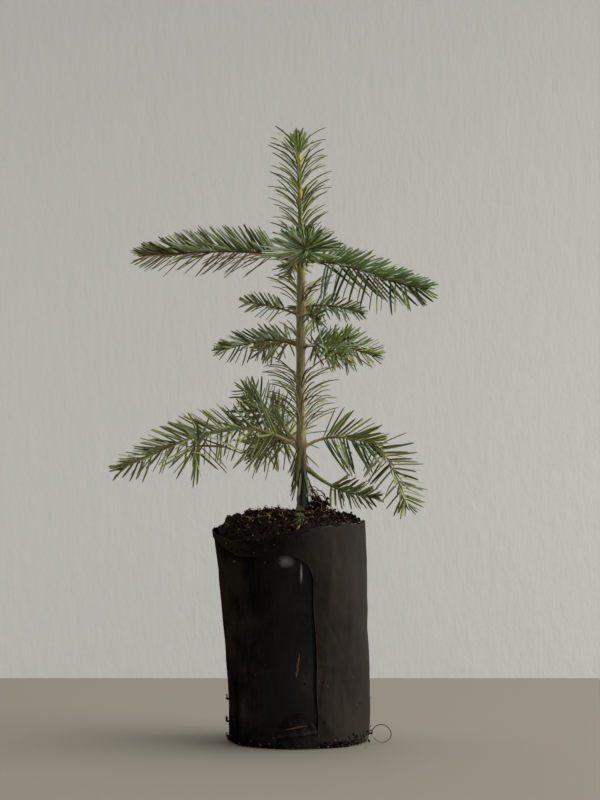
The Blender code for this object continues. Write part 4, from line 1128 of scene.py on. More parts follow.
def make_soil_block(settings):
    """The soil as one closed turned surface: rough mound (radius, turn), wall and flat foot."""
    turn = TURN * np.arange(SOIL_COLUMNS) / SOIL_COLUMNS
    foot = FILM + SOIL_GAP
    mound_r, mound_t = np.meshgrid(np.linspace(1, 0.006, SOIL_ROWS) * SOIL_RADIUS, turn, indexing="ij")
    mound_z = mound_surface(mound_r * np.cos(mound_t), mound_r * np.sin(mound_t), settings.roughness)
    low_r = np.array([0.3, 0.8, 1 - FOOT_CHAMFER / SOIL_RADIUS, 1, 1, 1, 1])[:, None] * SOIL_RADIUS
    low_z = np.array([foot, foot, foot, foot + FOOT_CHAMFER, 30 * MM, 60 * MM, 88 * MM])[:, None]
    wall_t = np.broadcast_to(turn, (len(low_z), SOIL_COLUMNS))
    radii = np.concatenate([low_r + 0 * wall_t, mound_r])
    heights = np.concatenate([low_z + 0 * wall_t, mound_z])
    turns = np.concatenate([wall_t, mound_t])
    return Batch().add_tube(turned(radii, turns, heights))


def lump_shape():
    """A rough lump: two poles and two staggered rings of five."""
    turn = TURN * np.arange(5) / 5
    upper = np.stack([0.9 * np.cos(turn), 0.9 * np.sin(turn), 0.45 + 0 * turn], -1)
    lower = np.stack([0.9 * np.cos(turn + 0.63), 0.9 * np.sin(turn + 0.63), -0.45 + 0 * turn], -1)
    points = np.concatenate([[[0, 0, 1]], upper, lower, [[0, 0, -1]]])
    this = np.arange(5)
    after = (this + 1) % 5
    faces = [
        np.stack([0 * this, 1 + this, 1 + after], -1),
        np.stack([1 + this, 6 + this, 1 + after], -1),
        np.stack([1 + after, 6 + this, 6 + after], -1),
        np.stack([0 * this + 11, 6 + after, 6 + this], -1),
    ]
    return points, np.concatenate(faces)


def random_turns(count, rng):
    """Random rotations, as matrices from unit quaternions."""
    w, x, y, z = unit(rng.normal(size=(count, 4))).T
    rows = [
        [1 - 2 * (y * y + z * z), 2 * (x * y - z * w), 2 * (x * z + y * w)],
        [2 * (x * y + z * w), 1 - 2 * (x * x + z * z), 2 * (y * z - x * w)],
        [2 * (x * z - y * w), 2 * (y * z + x * w), 1 - 2 * (x * x + y * y)],
    ]
    return np.array(rows).transpose(2, 0, 1)


def add_lumps(batch, places, sizes, shape, slots, rng):
    """A lump at each place: its points pushed in and out at random, scaled by shape and turned."""
    points, faces = lump_shape()
    count = len(places)
    rough = rng.uniform(0.45, 1.25, (count, len(points), 1))
    grown = points * rough * shape * sizes[:, None, None]
    grown = np.einsum("nij,npj->npi", random_turns(count, rng), grown) + places[:, None]
    offset = (np.arange(count) * len(points))[:, None, None]
    batch.add(grown, (faces + offset, np.asarray(slots)[:, None]))


def scatter_on_mound(count, rng, roughness, inner=0.0, outer=1.0):
    """Even random places on the mound between two shares of its radius."""
    radius = np.sqrt(rng.uniform(inner**2, outer**2, count)) * (SOIL_RADIUS - SOIL_GAP)
    turn = rng.uniform(0, TURN, count)
    height = mound_surface(radius * np.cos(turn), radius * np.sin(turn), roughness)
    return turned(radius, turn, height)


def keep_off_trunk(places, gap=1.2 * MM):
    """True for each place that is further than the gap from the trunk's bark."""
    near = np.linalg.norm((places - trunk_centre(places[:, 2]))[:, :2], axis=1)
    return near > trunk_radius(places[:, 2]) + gap


# A heap of soil and dead roots against the right of the trunk's foot: its middle and spread in millimetres.
HEAP = (9.3, -1.5, 107.2)
HEAP_SPREAD = (2.1, 2.2, 1.9)
HEAP_LUMPS = 170
TANGLE = 30  # brown fibres that arch from the trunk's foot over the heap


def deal(kinds, count, rng):
    """One of the kinds for each."""
    return rng.choice(kinds, count) if len(kinds) > 1 else np.full(count, kinds[0])


def make_crumbs(settings):
    """Loose soil crumbs, clods, bark chips, a heap by the trunk's foot and straws over the mound."""
    rng = np.random.default_rng(SEED + 11)
    batch = Batch()
    for bits in (CRUMBS, CLODS, CHIPS, HEAPED, STRAWS):
        if bits.part:
            places = scatter_on_mound(settings.crumbs // bits.part, rng, settings.roughness, bits.inner, bits.outer)
        else:
            places = rng.normal(HEAP, HEAP_SPREAD, (HEAP_LUMPS, 3)) * MM
        places = places[keep_off_trunk(places, bits.clear * MM)]
        sizes = rng.uniform(bits.small, bits.large, len(places)) * deal(bits.grown, len(places), rng) * MM
        places[:, 2] += bits.lift * MM + sizes * bits.raise_by
        add_lumps(batch, places, sizes, np.array(bits.shape), deal(bits.slots, len(places), rng), rng)
    return batch


# Cushions of moss on the mound: (x, y, spread, leaflets), in millimetres.
MOSS = (
    (5.0, -10.0, 2.4, 120),
    (5.2, -18.0, 2.6, 150),
    (4.8, -25.5, 2.4, 190),
    (-9.0, 9.0, 2.6, 70),
    (16.0, 12.0, 2.4, 60),
)

# The hair root that loops out from the ball's foot: where it leaves it and where its loop starts, and the loop's
# middle, half width and half height, in millimetres.
HAIR_START = (30.8, -9, 2.6)
HAIR_BEND = (33.8, -11, 4.7)
LOOP_MIDDLE = 38.0
LOOP_WIDTH = 4.2
LOOP_HEIGHT = 4.0
LOOP_TURN = 5.8
WANDERING_ROOTS = 30
ROOTS_WITHIN = 28.5 * MM  # how far out they may lie
SHORT_HAIRS = 26


def make_moss(settings):
    """Moss as small pointed leaflets over low cushions, each a stretched lump."""
    rng = np.random.default_rng(SEED + 13)
    batch = Batch()
    for x, y, spread, count in MOSS:
        off = rng.normal(0, spread * 0.5, (count, 2)) * MM
        flat = np.stack([x * MM + off[:, 0], y * MM + off[:, 1]])
        height = mound_surface(flat[0], flat[1], settings.roughness)
        near = np.hypot(off[:, 0], off[:, 1]) / (spread * MM)
        height = height + (2.2 * np.exp(-(near**2)) * rng.uniform(0.4, 1, count) + 0.1) * MM
        places = settle(np.stack([flat[0], flat[1], height], -1))
        places = places[keep_off_trunk(places, 0.5 * MM)]
        sizes = rng.uniform(0.3, 0.62, len(places)) * MM
        add_lumps(batch, places, sizes, np.array([1, 0.42, 0.3]), np.zeros(len(places), int), rng)
    return batch


def add_fibre(batch, path, radius, slot, sides=6):
    """A fine root or straw: a thin tube, tapering to a third at both ends."""
    share = np.linspace(0, 1, len(path))
    radii = radius * (0.33 + 0.67 * np.sin(math.pi * np.clip(share, 0.02, 0.98)) ** 0.5)
    batch.add_tube(tube_rings(path, radii[:, None], sides, np.array([0.13, 0.2, 0.97])), slot)


def add_tangle(batch, rng):
    """Dead roots that leave the trunk's foot, arch over by height s (1 - s) and end in the heap beside it."""
    share = np.linspace(0, 1, 22)
    for _ in range(TANGLE):
        start = np.array([rng.uniform(4.2, 5.2), rng.normal(-1.0, 1.6), rng.uniform(106, 119)])
        end = np.array([rng.uniform(7, 17), rng.normal(-2, 4), rng.uniform(104.5, 108)])
        rise = rng.uniform(0, 5)
        path = mix(start, end, share[:, None]) + Z_UP * (rise * 4 * share * (1 - share))[:, None]
        path = path + ripple(path, 6.0, rng.integers(1000), 2)[:, None] * np.array([0.5, 0.7, 0.5])
        add_fibre(batch, path * MM, rng.uniform(0.09, 0.2) * MM, rng.choice([0, 1, 1]))


def make_fine_roots(settings):
    """Fine roots that wander over the mound, one hair root that loops out from the foot, dead roots by the trunk
    and short hairs that stand on the mound."""
    rng = np.random.default_rng(SEED + 17)
    batch = Batch()
    for _ in range(WANDERING_ROOTS):
        radius = rng.uniform(7, 26) * MM
        start = rng.uniform(0, TURN)
        length = rng.uniform(5, 15) * MM
        share = np.linspace(0, 1, 24)
        bend = rng.normal(0, 1.4) * share**2 + 0.25 * np.sin(share * rng.uniform(5, 11))
        way = rng.uniform(0, TURN) + bend
        flat_x = radius * np.cos(start) + np.cumsum(np.cos(way)) * length / 24
        flat_y = radius * np.sin(start) + np.cumsum(np.sin(way)) * length / 24
        held = np.minimum(1, ROOTS_WITHIN / np.hypot(flat_x, flat_y))
        flat_x, flat_y = flat_x * held, flat_y * held
        height = mound_surface(flat_x, flat_y, settings.roughness) + (0.3 + 0.9 * np.sin(math.pi * share)) * MM
        path = settle(np.stack([flat_x, flat_y, height], -1))
        if keep_off_trunk(path).all():
            add_fibre(batch, path, rng.uniform(0.1, 0.2) * MM, rng.choice([0, 0, 1]))
    reach = np.linspace(0, 1, 20, endpoint=False)
    turn = np.linspace(0, LOOP_TURN, 70)
    lead = mix(np.array(HAIR_START), np.array(HAIR_BEND), reach[:, None])
    lead[:, 2] += 0.5 * np.sin(reach * 3)
    loop_x = LOOP_MIDDLE - LOOP_WIDTH * np.cos(turn)
    loop_y = HAIR_BEND[1] - 5 * np.sin(turn / 2) ** 2
    loop_z = HAIR_BEND[2] + LOOP_HEIGHT * np.sin(turn)
    hair = np.concatenate([lead, np.stack([loop_x, loop_y, loop_z], -1)])
    add_fibre(batch, hair * MM, 0.2 * MM, 1)
    add_tangle(batch, rng)
    for _ in range(SHORT_HAIRS):
        radius, start = rng.uniform(6, 29) * MM, rng.uniform(0, TURN)
        share = np.linspace(0, 1, 12)
        lean = rng.normal(0, 0.6, 2)
        tall = rng.uniform(1.6, 4.2) * MM
        flat_x = radius * np.cos(start) + lean[0] * tall * share**2
        flat_y = radius * np.sin(start) + 0 * share
        foot = mound_surface(flat_x[:1], flat_y[:1], settings.roughness)
        path = settle(np.stack([flat_x, flat_y + lean[1] * tall * share**2, foot + tall * share], -1))
        if keep_off_trunk(path).all():
            add_fibre(batch, path, rng.uniform(0.08, 0.16) * MM, 1)
    return batch


# ---- film ----

LAYER_TOP = RIM_HEIGHT - 0.4 * MM  # the outer film reaches nearer the rim than its solid
# The outer film's free edge: its height on the front left and at the back, the headings between which it climbs
# from one to the other, and its corner's radius. HUGS gives the headings over which the film comes to lie close.
EDGE_CREST = 90 * MM
EDGE_AT_RIM = 96.6 * MM
EDGE_CLIMB = [3.5, 4.0]
EDGE_CORNER = 14 * MM
WINDOW_FAN = math.radians(26)
HUGS = (-0.8, 0.1, 4.15, 4.75)
CUP_COLUMNS = 230
CUP_SHEET = 0.25 * MM
LAYER_COLUMNS = 460
LAYER_ROWS = 96
EDGE_LIFT = 0.7 * MM  # how far the free edge stands proud, and how far it wavers
EDGE_WAVER = 0.5 * MM
LAYER_LOOSE = 0.35 * MM  # how far the outer film stands off at most where it hangs free
LAYER_TIGHT = -0.68 * MM  # and where it lies close, against its solid's skin
TAB_PROUD = 0.35 * MM
TAB_FOLD = 0.9 * MM  # height and width of the fold across the tab
TAB_FOLD_AT = 6.2 * MM

# Folds pressed into the film's front: (x0, z0, x1, z1, height, width) in millimetres on the front view.
FOLDS = (
    (9.0, 17.0, 15.5, 6.5, 1.7, 1.5),
    (15.5, 6.5, 19.0, 0.5, 1.5, 1.4),
    (1.2, 72.0, 0.6, 84.0, 1.5, 0.8),
    (-5.0, 80.0, -2.5, 87.0, 1.8, 1.6),
    (-20.0, 60.0, -17.0, 88.0, 1.6, 2.6),
    (-24.0, 8.0, -22.0, 42.0, 1.2, 2.2),
    (-11.0, 44.0, -14.0, 76.0, 1.2, 1.8),
    (22.0, 30.0, 25.5, 72.0, 1.5, 2.4),
    (13.5, 62.0, 16.0, 93.0, 1.3, 2.0),
    (19.5, 78.0, 27.0, 94.0, 1.5, 1.5),
    (12.0, 22.0, 13.5, 50.0, 1.0, 2.0),
)
WRINKLES = 110
LEFT_SWELL = 1.2 * MM  # the ball bulges to its left near the rim


def front_heading(x, z):
    """The heading on the ball's front at which a slumped point has this x."""
    share = z / RIM_HEIGHT
    reach = LAYER_RADIUS * (1 + BALL_FLARE / BALL_RADIUS * share**1.6)
    return -np.arccos(np.clip((x - BALL_LEAN * share**1.8) / reach, -1, 1))


def ridge(heading, height, start, end, wide):
    """exp(-(distance across / width)^2) along a line between two (heading, height) points, fading at its ends."""
    middle = (start[0] + end[0]) / 2
    across = ((heading - middle + math.pi) % TURN - math.pi) * BALL_RADIUS
    line = np.array([(end[0] - start[0]) * BALL_RADIUS, end[1] - start[1]])
    size = math.hypot(*line)
    way = line / size
    up = height - (start[1] + end[1]) / 2
    along = (across * way[0] + up * way[1]) / (size / 2)
    off = (across * way[1] - up * way[0]) / wide
    return np.exp(-(off**2)) * np.exp(-(along**4))


def film_relief(heading, height, settings):
    """How far the film stands off its turned wall: folds, small sharp wrinkles that mostly run up it and a fine
    crinkle, all in crease heights, and a broad swell on its left."""
    rng = np.random.default_rng(SEED + 23)
    heading, height = np.broadcast_arrays(heading, height)
    total = np.zeros(heading.shape)
    for x0, z0, x1, z1, tall, wide in FOLDS:
        ends = [(front_heading(x * MM, z * MM), z * MM) for x, z in ((x0, z0), (x1, z1))]
        total += tall * ridge(heading, height, *ends, wide * MM)
    for _ in range(WRINKLES):
        at = rng.uniform(0, TURN), rng.uniform(2, 98) * MM
        steep = rng.normal(math.pi / 2, 0.5)
        half = rng.uniform(3, 14) * MM
        step = np.array([math.cos(steep) / BALL_RADIUS, math.sin(steep)]) * half
        wide = rng.uniform(0.6, 1.7) * MM
        total += rng.uniform(-1, 0.9) * ridge(heading, height, at - step, at + step, wide)
    skin = np.stack([np.cos(heading) * BALL_RADIUS, np.sin(heading) * BALL_RADIUS, height * 0.7], -1)
    total += 0.5 * ripple(skin, 14 * MM, SEED + 24, 3) - 0.22 * np.abs(ripple(skin, 6 * MM, SEED + 25, 2))
    left = np.maximum(-np.cos(heading), 0) ** 2 * smooth_step(35 * MM, 92 * MM, height)
    return total * settings.crease * smooth_step(0, 5 * MM, height) + left * LEFT_SWELL


def rim_waver(heading, height):
    """The film's edge rises and falls: ripples 13 mm long that fade out 6 mm below the rim."""
    heading, height = np.broadcast_arrays(heading, height)
    circle = np.stack([np.cos(heading) * BALL_RADIUS, np.sin(heading) * BALL_RADIUS], -1)
    near = smooth_step(RIM_HEIGHT - 6 * MM, RIM_HEIGHT, height)
    return ripple(circle, 13 * MM, SEED + 26, 3) * 0.8 * MM * near


def make_film_cup_mesh(settings):
    """The inner film as a closed cup: underside, foot, outer wall, thin rim, inner wall and floor, turned."""
    heading = TURN * np.arange(CUP_COLUMNS) / CUP_COLUMNS
    inner = BALL_RADIUS - FILM
    wall = np.linspace(FOOT_CHAMFER * 1.3, RIM_HEIGHT, 120)
    back = np.linspace(RIM_HEIGHT, 0.9 * RIM_HEIGHT, 8)
    curve = np.linspace(0, math.pi / 2, 6)
    foot_r = BALL_RADIUS - FOOT_CHAMFER * (1 - np.sin(curve))
    foot_z = FOOT_CHAMFER * 1.3 * (1 - np.cos(curve))
    radii = [[0.5 * MM, 12 * MM, 24 * MM], foot_r, 0 * wall[1:] + BALL_RADIUS, 0 * back + BALL_RADIUS - CUP_SHEET]
    heights = [[0, 0, 0], foot_z, wall[1:], back]
    relieved = [[0, 0, 0], 0 * foot_r, 1 + 0 * wall[1:], 1 + 0 * back]
    radii += [np.array([1, 1, 0.9, 0.02]) * inner]
    heights += [np.array([0.6 * RIM_HEIGHT, FILM * 1.2, FILM, FILM])]
    relieved += [np.zeros(4)]
    radii, heights, relieved = [np.concatenate(part)[:, None] for part in (radii, heights, relieved)]
    relief = film_relief(heading[None], heights, settings) * relieved
    heights = heights + rim_waver(heading[None], heights) * relieved
    return Batch().add_tube(turned(radii + relief, heading[None], heights))


def layer_borders(steps):
    """The outer film's lower border, which runs along the foot and round the window, and the heading on the rim
    that each of its points is joined to: arrays of heading, height and upper heading, once round the ball."""
    edge = front_heading(WINDOW_EDGE_X, np.float64(0.3 * RIM_HEIGHT))
    back = math.pi - math.asin(WINDOW_BACK / LAYER_RADIUS)
    low = LAYER_FOOT
    corner = EDGE_CORNER / BALL_RADIUS
    turn = np.linspace(0, math.pi / 2, 24)
    arc_heading = TURN + edge - corner + corner * np.cos(turn)
    arc_height = EDGE_CREST - EDGE_CORNER + EDGE_CORNER * np.sin(turn)
    heading = np.concatenate([[edge, back, back, *EDGE_CLIMB], arc_heading[::-1], [TURN + edge]])
    height = np.concatenate([[low, low, EDGE_AT_RIM, EDGE_AT_RIM, EDGE_CREST], arc_height[::-1], [low]])
    upper_arc = np.linspace(TURN + edge - corner, TURN + edge - 0.02, len(turn))
    fan = WINDOW_FAN
    upper = np.concatenate([[edge + fan, back - fan, back, *EDGE_CLIMB], upper_arc, [TURN + edge + fan]])
    gaps = np.hypot(np.diff(heading) * BALL_RADIUS, np.diff(height)) + np.diff(upper) * BALL_RADIUS * 0.5
    along = np.concatenate([[0], np.cumsum(gaps)])
    at = np.linspace(0, along[-1], steps, endpoint=False)
    return [np.interp(at, along, line) for line in (heading, height, upper)]


def make_outer_film(settings):
    """The outer film as one closed sheet: its outer skin is ruled from the lower border to the rim, and its inner
    skin lies one sheet inside. The border along the window stands a little proud and wavers."""
    low_heading, low_height, upper = layer_borders(LAYER_COLUMNS)
    share = np.linspace(0, 1, LAYER_ROWS)[:, None] ** 0.85
    heading = mix(low_heading, upper, share)
    height = mix(low_height, LAYER_TOP, share)
    circle = np.stack([np.cos(heading), np.sin(heading), height * 12], -1)
    away = np.hypot((heading - low_heading) * BALL_RADIUS, height - low_height)
    lift = np.exp(-away / (2.6 * MM)) * smooth_step(LAYER_FOOT, 9 * MM, low_height)
    lift = lift * (0.55 + 0.45 * ripple(circle, 0.5, SEED + 31, 2)) * EDGE_LIFT
    waver = np.exp(-away / (5 * MM)) * ripple(circle, 0.35, SEED + 32, 3) * EDGE_WAVER
    tight = smooth_step(*HUGS[:2], heading) * (1 - smooth_step(*HUGS[2:], heading))
    relief = film_relief(heading, height, settings) + lift * (1 - 0.9 * tight)
    loose = (0.5 + 0.5 * ripple(circle, 1.1, SEED + 33, 2)) * LAYER_LOOSE
    outer = LAYER_RADIUS + relief + mix(loose, LAYER_TIGHT, tight)
    raised = height + rim_waver(heading, height + 0.4 * MM)
    skins = [turned(outer, heading + waver / BALL_RADIUS, raised)]
    skins.append(turned(outer - settings.sheet, heading + waver / BALL_RADIUS, raised)[::-1])
    points = np.concatenate(skins)
    total = len(points)
    quads = grid_quads(total + 1, LAYER_COLUMNS, True) % (total * LAYER_COLUMNS)
    return Batch().add(points, (quads, 0))


def make_tab(settings):
    """The arched tab at the foot: a closed patch whose half width follows half sqrt(1 - over^2), with one fold
    exp(-(distance / width)^2) across it."""
    half = TAB_WIDTH / 2
    height = np.linspace(TAB_FOOT, TAB_HEIGHT, 56)
    over = np.clip((height - (TAB_HEIGHT - half)) / half, 0, 1)
    wide = half * np.sqrt(np.maximum(1 - over**2, 0.0004))
    front = np.linspace(-1, 1, 44)
    x = TAB_X + wide[:, None] * front
    heading = front_heading(x, height[:, None])
    relief = film_relief(heading, height[:, None], settings)
    circle = np.stack([x, height[:, None] + 0 * x], -1)
    proud = TAB_PROUD * (1 - height[:, None] / TAB_HEIGHT) + 0.25 * MM * ripple(circle, 5 * MM, SEED + 41, 3)
    off = (height[:, None] - TAB_FOLD_AT - 0.14 * (x - TAB_X)) / TAB_FOLD
    fold = TAB_FOLD * np.exp(-(off**2))
    outer = LAYER_RADIUS + relief + proud + fold + 0.25 * MM
    outside = turned(outer, heading, height[:, None])
    inside = turned(outer - settings.sheet, heading, height[:, None])[:, ::-1]
    return Batch().add_tube(np.concatenate([outside, inside], 1))


# Flat scraps of bark on the film's front: (x0, z0, x1, z1, width, how proud they lie), in millimetres.
SCRAPS = ((-0.9, 31.5, 0.6, 43.5, 1.1, -0.95), (-5.0, 9.0, 4.2, 10.8, 0.9, 1.35))
STRAY_CRUMBS = 70  # crumbs in the thin scatter all round

# Places on the film's front where soil clings: (x, z, spread, crumbs), in millimetres.
CLINGING = (
    (-32.8, 20.0, 1.0, 8),
    (-32.4, 9.5, 1.6, 20),
    (-32.0, 2.0, 1.2, 30),
    (-24.0, 0.8, 4.0, 70),
    (-8.0, 0.7, 6.0, 60),
    (10.0, 0.7, 6.0, 50),
    (29.0, 3.0, 2.4, 40),
    (21.0, 1.2, 4.0, 60),
    (15.0, 27.5, 5.0, 9),
    (27.5, 18.0, 1.2, 4),
    (-20.0, 96.5, 6.0, 60),
    (-2.0, 95.5, 5.0, 20),
    (-17.0, 82.0, 0.7, 1),
    (6.8, 87.5, 0.5, 1),
)


def make_clinging(settings):
    """Crumbs that cling to the film's outside, a thin scatter all round it, and two flat scraps of bark."""
    rng = np.random.default_rng(SEED + 43)
    batch = Batch()
    spots = [rng.normal((x, z), (spread, spread * 0.6), (count, 2)) for x, z, spread, count in CLINGING]
    spots = np.concatenate(spots) * MM
    heights = np.clip(spots[:, 1], 0.6 * MM, RIM_HEIGHT)
    headings = front_heading(spots[:, 0], heights)
    headings = np.concatenate([headings, rng.uniform(0, TURN, STRAY_CRUMBS)])
    heights = np.concatenate([heights, rng.uniform(0.6, 97, STRAY_CRUMBS) * MM])
    sizes = rng.uniform(0.25, 0.95, len(headings)) * MM
    sizes[-STRAY_CRUMBS:] *= 0.45
    radius = BALL_RADIUS + LAYER_GAP + 0.35 * MM + film_relief(headings, heights, settings) + sizes * 0.4
    places = turned(radius, headings, heights)
    slots = rng.choice([0, 0, 0, 0, 0, 1], len(places))
    add_lumps(batch, places, sizes, np.array([1, 0.8, 0.7]), slots, rng)
    for x0, z0, x1, z1, wide, proud in SCRAPS:
        share = np.linspace(0, 1, 30)
        x = mix(x0, x1, share) * MM + ripple(share[:, None], 0.5, SEED, 2) * 0.3 * MM
        z = mix(z0, z1, share) * MM
        heading = front_heading(x, z)
        path = turned(LAYER_RADIUS + film_relief(heading, z, settings) + proud * MM, heading, z)
        across = unit(np.cross(np.gradient(path, axis=0), heading_vector(heading)))
        out = heading_vector(heading)
        turn = -TURN * np.arange(8) / 8
        swell = (np.sin(math.pi * np.clip(share, 0.03, 0.97)) ** 0.6 * wide / 2 * MM)[:, None, None]
        rings = path[:, None] + across[:, None] * np.cos(turn)[:, None] * swell
        rings = rings + out[:, None] * np.sin(turn)[:, None] * 0.16 * MM
        batch.add_tube(rings, 1)
    return batch


# ---- stage ----

TABLE_REACH = 12.0
WALL_WIDTH = 4.8
WALL_HEIGHT = 3.6
WALL_FOOT = -0.9
WALL_LIGHT_GAP = 1.0
LIGHT_AIM = (0, 0, 150 * MM)
# The plant's lights: (name, place, size, the setting of its power, colour, spread in degrees).
LIGHTS = (
    ("window_light", (1.25, -0.2, 0.6), 1.5, "key", (0.97, 0.985, 1.0), 180),
    ("fill_light", (-0.3, -1.4, 0.8), 0.9, "fill", (0.95, 0.98, 1.0), 180),
    ("ceiling_light", (0.2, 0.35, 2.2), 1.8, "top", (1.0, 0.98, 0.95), 110),
)
WALL_LIGHTS = (("wall_light_right", 1.3, 1.02), ("wall_light_left", -1.3, 0.76))  # (name, x, share of the power)


def plane_piece(name, corner, along, up, material):
    """A flat plane as a grid: corner + along s + up t."""
    steps = np.linspace(0, 1, 9)
    points = np.array(corner) + np.array(along) * steps[:, None, None] + np.array(up) * steps[:, None]
    return Batch().add(points, (grid_quads(9, 9, False), 0)).build(name, [material])


def soft_light(name, place, aim, size, power, colour, spread=180):
    """A square area light that looks at a point, with its spread in degrees."""
    data = bpy.data.lights.new(name, "AREA")
    data.shape = "SQUARE"
    data.size = size
    data.energy = power
    data.color = colour
    data.spread = math.radians(spread)
    obj = bpy.data.objects.new(name, data)
    bpy.context.scene.collection.objects.link(obj)
    obj.location = place
    away = np.array(place) - np.array(aim)
    flat = math.hypot(away[0], away[1])
    obj.rotation_euler = (math.atan2(flat, away[2]), 0, math.atan2(away[0], -away[1]))


# ---- operators ----


def colours(settings, *names):
    """The settings' colours of these names."""
    return [shade(getattr(settings, name)) for name in names]


class SAPLING_OT_bark(Operator):
    """Builds the trunk and the limbs with their bark's relief"""

    bl_idname = "sapling.bark"
    bl_label = "Trunk and limb bark"

    def execute(self, context):
        settings = context.scene.sapling_wood
        foot, trunk, leader = colours(settings, "foot", "trunk", "leader")
        change = ((OLD_BARK_TOP, trunk), (YOUNG_BARK_TOP, leader))
        bark = fir_bark("young_fir_bark", shade(foot, 0.6), foot, change)
        place_piece(make_trunk_bark(settings).build("trunk_bark", [bark], 50), "bark", "trunk")
        names = ("red", "tan", "green")
        skins = [
            fir_bark(f"{name}_twig_bark", shade(colour, 0.55), colour, scale=0.7)
            for name, colour in zip(names, colours(settings, *names))
        ]
        boughs = [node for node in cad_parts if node.endswith("_bough")]
        place_piece(make_limb_bark(settings).build("limb_bark", skins, 50), "bark", *boughs)
        return {"FINISHED"}


class SAPLING_OT_buds(Operator):
    """Builds the leader's bud cluster and the buds at the limbs' tips"""

    bl_idname = "sapling.buds"
    bl_label = "Buds"

    def execute(self, context):
        scales = bud_scales("resinous_bud_scales", *colours(context.scene.sapling_wood, "bud"))
        place_piece(make_top_buds().build("top_buds", [scales]), "bud", "top_bud")
        place_piece(make_limb_buds().build("limb_buds", [scales]), "bud")
        return {"FINISHED"}


# Each piece of needles, and how the names of the masses that it stands for start.
SPRAYS = {
    "leader_spray": ("leader",),
    "stem_needle_sleeves": ("foot_", "lower_stem", "mid_stem", "upper_stem"),
    "top_whorl_sprays": ("top_",),
    "second_whorl_sprays": ("second_",),
    "third_whorl_sprays": ("third_",),
    "lower_whorl_sprays": ("low_", "lowest_"),
}


class SAPLING_OT_needles(Operator):
    """Grows the needles on every limb, twig and length of trunk"""

    bl_idname = "sapling.needles"
    bl_label = "Needles"

    def execute(self, context):
        settings = context.scene.sapling_needles
        names = [*(f"{tone}_fir_needle" for tone in TONES), "fir_needle_underside"]
        looks = zip(names, colours(settings, *TONES, "under"), NEEDLE_ROUGHNESS, strict=True)
        materials = [waxy_needle(*look) for look in looks]
        grown = all_growth(settings)
        grown.append(("leader_needles", tip_crown(np.random.default_rng(SEED + 3)), TIP_CURL))
        masses = {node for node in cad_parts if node.endswith("_needles")}
        for name, starts in SPRAYS.items():
            nodes = [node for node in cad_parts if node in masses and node.startswith(starts)]
            batch = Batch()
            for node, growth, curl in grown:
                if node in nodes:
                    needle_surface(growth, curl, settings, batch)
            place_piece(batch.build(name, materials, 38), "needles", *nodes)
            masses -= set(nodes)
        if masses:
            raise RuntimeError(f"no spray stands for {sorted(masses)}")
        return {"FINISHED"}


class SAPLING_OT_soil(Operator):
    """Builds the root ball's soil with its crumbs, moss and fine roots"""

    bl_idname = "sapling.soil"
    bl_label = "Soil"

    def execute(self, context):
        settings = context.scene.sapling_soil
        soil, bark, straw, moss = colours(settings, "soil", "bark", "straw", "moss")
        peat = damp_peat("damp_peat", soil)
        bark = plant_debris("composted_bark", bark)
        straw = plant_debris("dry_straw", straw)
        moss = plant_debris("cushion_moss", moss, 0.7)
        place_piece(make_soil_block(settings).build("soil_block", [peat]), "soil", "root_ball_soil")
        place_piece(make_crumbs(settings).build("soil_crumbs", [peat, bark, straw]), "soil")
        place_piece(make_moss(settings).build("moss_cushions", [moss]), "soil")
        place_piece(make_fine_roots(settings).build("fine_roots", [straw, bark]), "soil")
        return {"FINISHED"}


class SAPLING_OT_film(Operator):
    """Builds the wrapping film: inner cup, outer layer and the tab at the foot"""

    bl_idname = "sapling.film"
    bl_label = "Film"

    def execute(self, context):
        settings = context.scene.sapling_film
        clean, scuffed, dust, stain = colours(settings, "inner", "outer", "dust", "stain")
        # The inner film carries painted highlights, and both films are painted lighter on their lit right side.
        inner = blown_film("glossy_black_film", clean, dust, 0.30, dusty=0.2, gloss=0.22, painted_highlights=PAINTED_FILM_HIGHLIGHTS)
        outer = blown_film("scuffed_black_film", scuffed, dust, 0.62, dusty=0.45, gloss=0.05)
        peat = damp_peat("dried_peat", *colours(context.scene.sapling_soil, "soil"))
        scrap = plant_debris("rusty_bark_scrap", stain)
        place_piece(make_film_cup_mesh(settings).build("film_cup_skin", [inner], 60), "film", "film_cup")
        place_piece(make_outer_film(settings).build("outer_film", [outer], 60), "film", "film_outer_layer")
        place_piece(make_tab(settings).build("foot_tab", [outer], 60), "film", "film_tab")
        place_piece(make_clinging(settings).build("clinging_crumbs", [peat, scrap]), "soil")
        return {"FINISHED"}


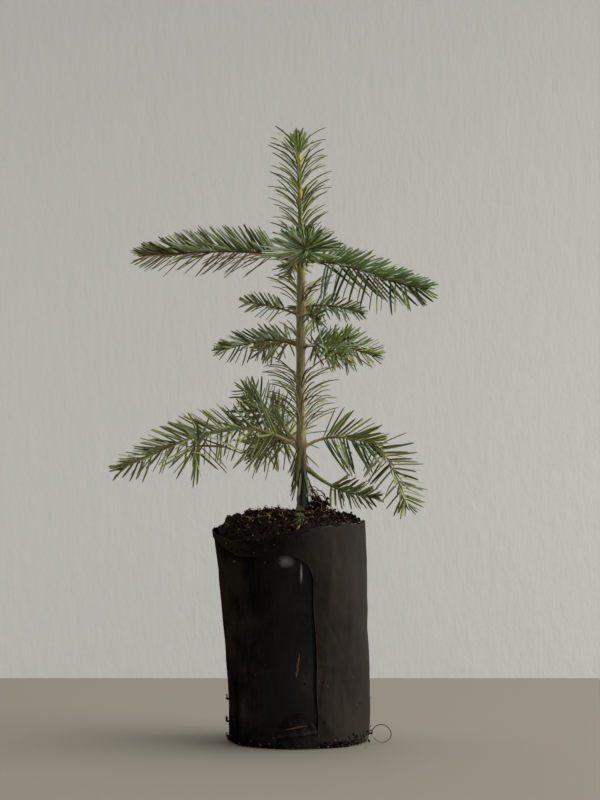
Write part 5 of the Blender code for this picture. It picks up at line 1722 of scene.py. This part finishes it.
class SAPLING_OT_stage(Operator):
    """Sets the table, the wall, the light and the camera"""

    bl_idname = "sapling.stage"
    bl_label = "Stage"

    def execute(self, context):
        scene = context.scene
        settings = scene.sapling_stage
        far = settings.wall_distance
        table_colour, wall_colour = colours(settings, "table", "wall")
        table = painted_stage("painted_table", table_colour, 3, 0.05 * MM)
        wall = painted_stage("painted_wall", wall_colour, 9, 3 * MM)
        deep = (0, TABLE_REACH + settings.edge_distance, 0)
        floor = plane_piece("table_top", (-TABLE_REACH, -TABLE_REACH, 0), (2 * TABLE_REACH, 0, 0), deep, table)
        corner = (-WALL_WIDTH / 2, far, WALL_FOOT)
        backdrop = plane_piece("wall", corner, (WALL_WIDTH, 0, 0), (0, 0, WALL_HEIGHT), wall)
        for name, place, size, power, colour, spread in LIGHTS:
            soft_light(name, place, LIGHT_AIM, size, getattr(settings, power), colour, spread)
        for name, x, share in WALL_LIGHTS:
            place = (x, far - WALL_LIGHT_GAP, 0.0)
            soft_light(name, place, (0, far, 0.0), 0.6, settings.wash * share, (1.0, 0.99, 0.965))
        world = bpy.data.worlds.new("soft_room")
        world.use_nodes = True
        set_inputs(world.node_tree.nodes["Background"], {"Color": (0.93, 0.96, 1.0, 1), "Strength": 0.18})
        scene.world = world
        scene.view_settings.view_transform = "Standard"
        camera = bpy.data.cameras.new("camera")
        camera.lens = CAMERA_LENS
        camera.sensor_width = 36
        camera.clip_start = 0.05
        station = bpy.data.objects.new("camera", camera)
        station.location = CAMERA_PLACE
        station.rotation_euler = (math.pi / 2, 0, 0)
        scene.collection.objects.link(station)
        scene.camera = station
        return {"FINISHED"}


OPERATORS = (
    SAPLING_OT_bark,
    SAPLING_OT_buds,
    SAPLING_OT_needles,
    SAPLING_OT_soil,
    SAPLING_OT_film,
    SAPLING_OT_stage,
)


class SAPLING_PT_panel(Panel):
    """Lists the sapling's sizes, colours and build steps"""

    bl_idname = "SAPLING_PT_panel"
    bl_label = "Fir sapling"
    bl_space_type = "VIEW_3D"
    bl_region_type = "UI"
    bl_category = "Sapling"

    def draw(self, context):
        for operator in OPERATORS:
            self.layout.operator(operator.bl_idname)
        for key, settings in SETTINGS.items():
            box = self.layout.box()
            for name in settings.__annotations__:
                box.prop(getattr(context.scene, key), name)


SETTINGS = {
    "sapling_needles": NeedleSettings,
    "sapling_wood": WoodSettings,
    "sapling_soil": SoilSettings,
    "sapling_film": FilmSettings,
    "sapling_stage": StageSettings,
}


def register():
    """Adds the settings to the scene, then the operators and the panel."""
    for key, settings in SETTINGS.items():
        bpy.utils.register_class(settings)
        setattr(bpy.types.Scene, key, PointerProperty(type=settings))
    for kind in (*OPERATORS, SAPLING_PT_panel):
        bpy.utils.register_class(kind)


def unregister():
    """Takes away what register adds, in the opposite order."""
    for kind in (SAPLING_PT_panel, *reversed(OPERATORS)):
        bpy.utils.unregister_class(kind)
    for key, settings in SETTINGS.items():
        delattr(bpy.types.Scene, key)
        bpy.utils.unregister_class(settings)


def main():
    register()
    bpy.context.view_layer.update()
    for operator in OPERATORS:
        group, name = operator.bl_idname.split(".")
        getattr(getattr(bpy.ops, group), name)()


if __name__ == "__main__":
    main()
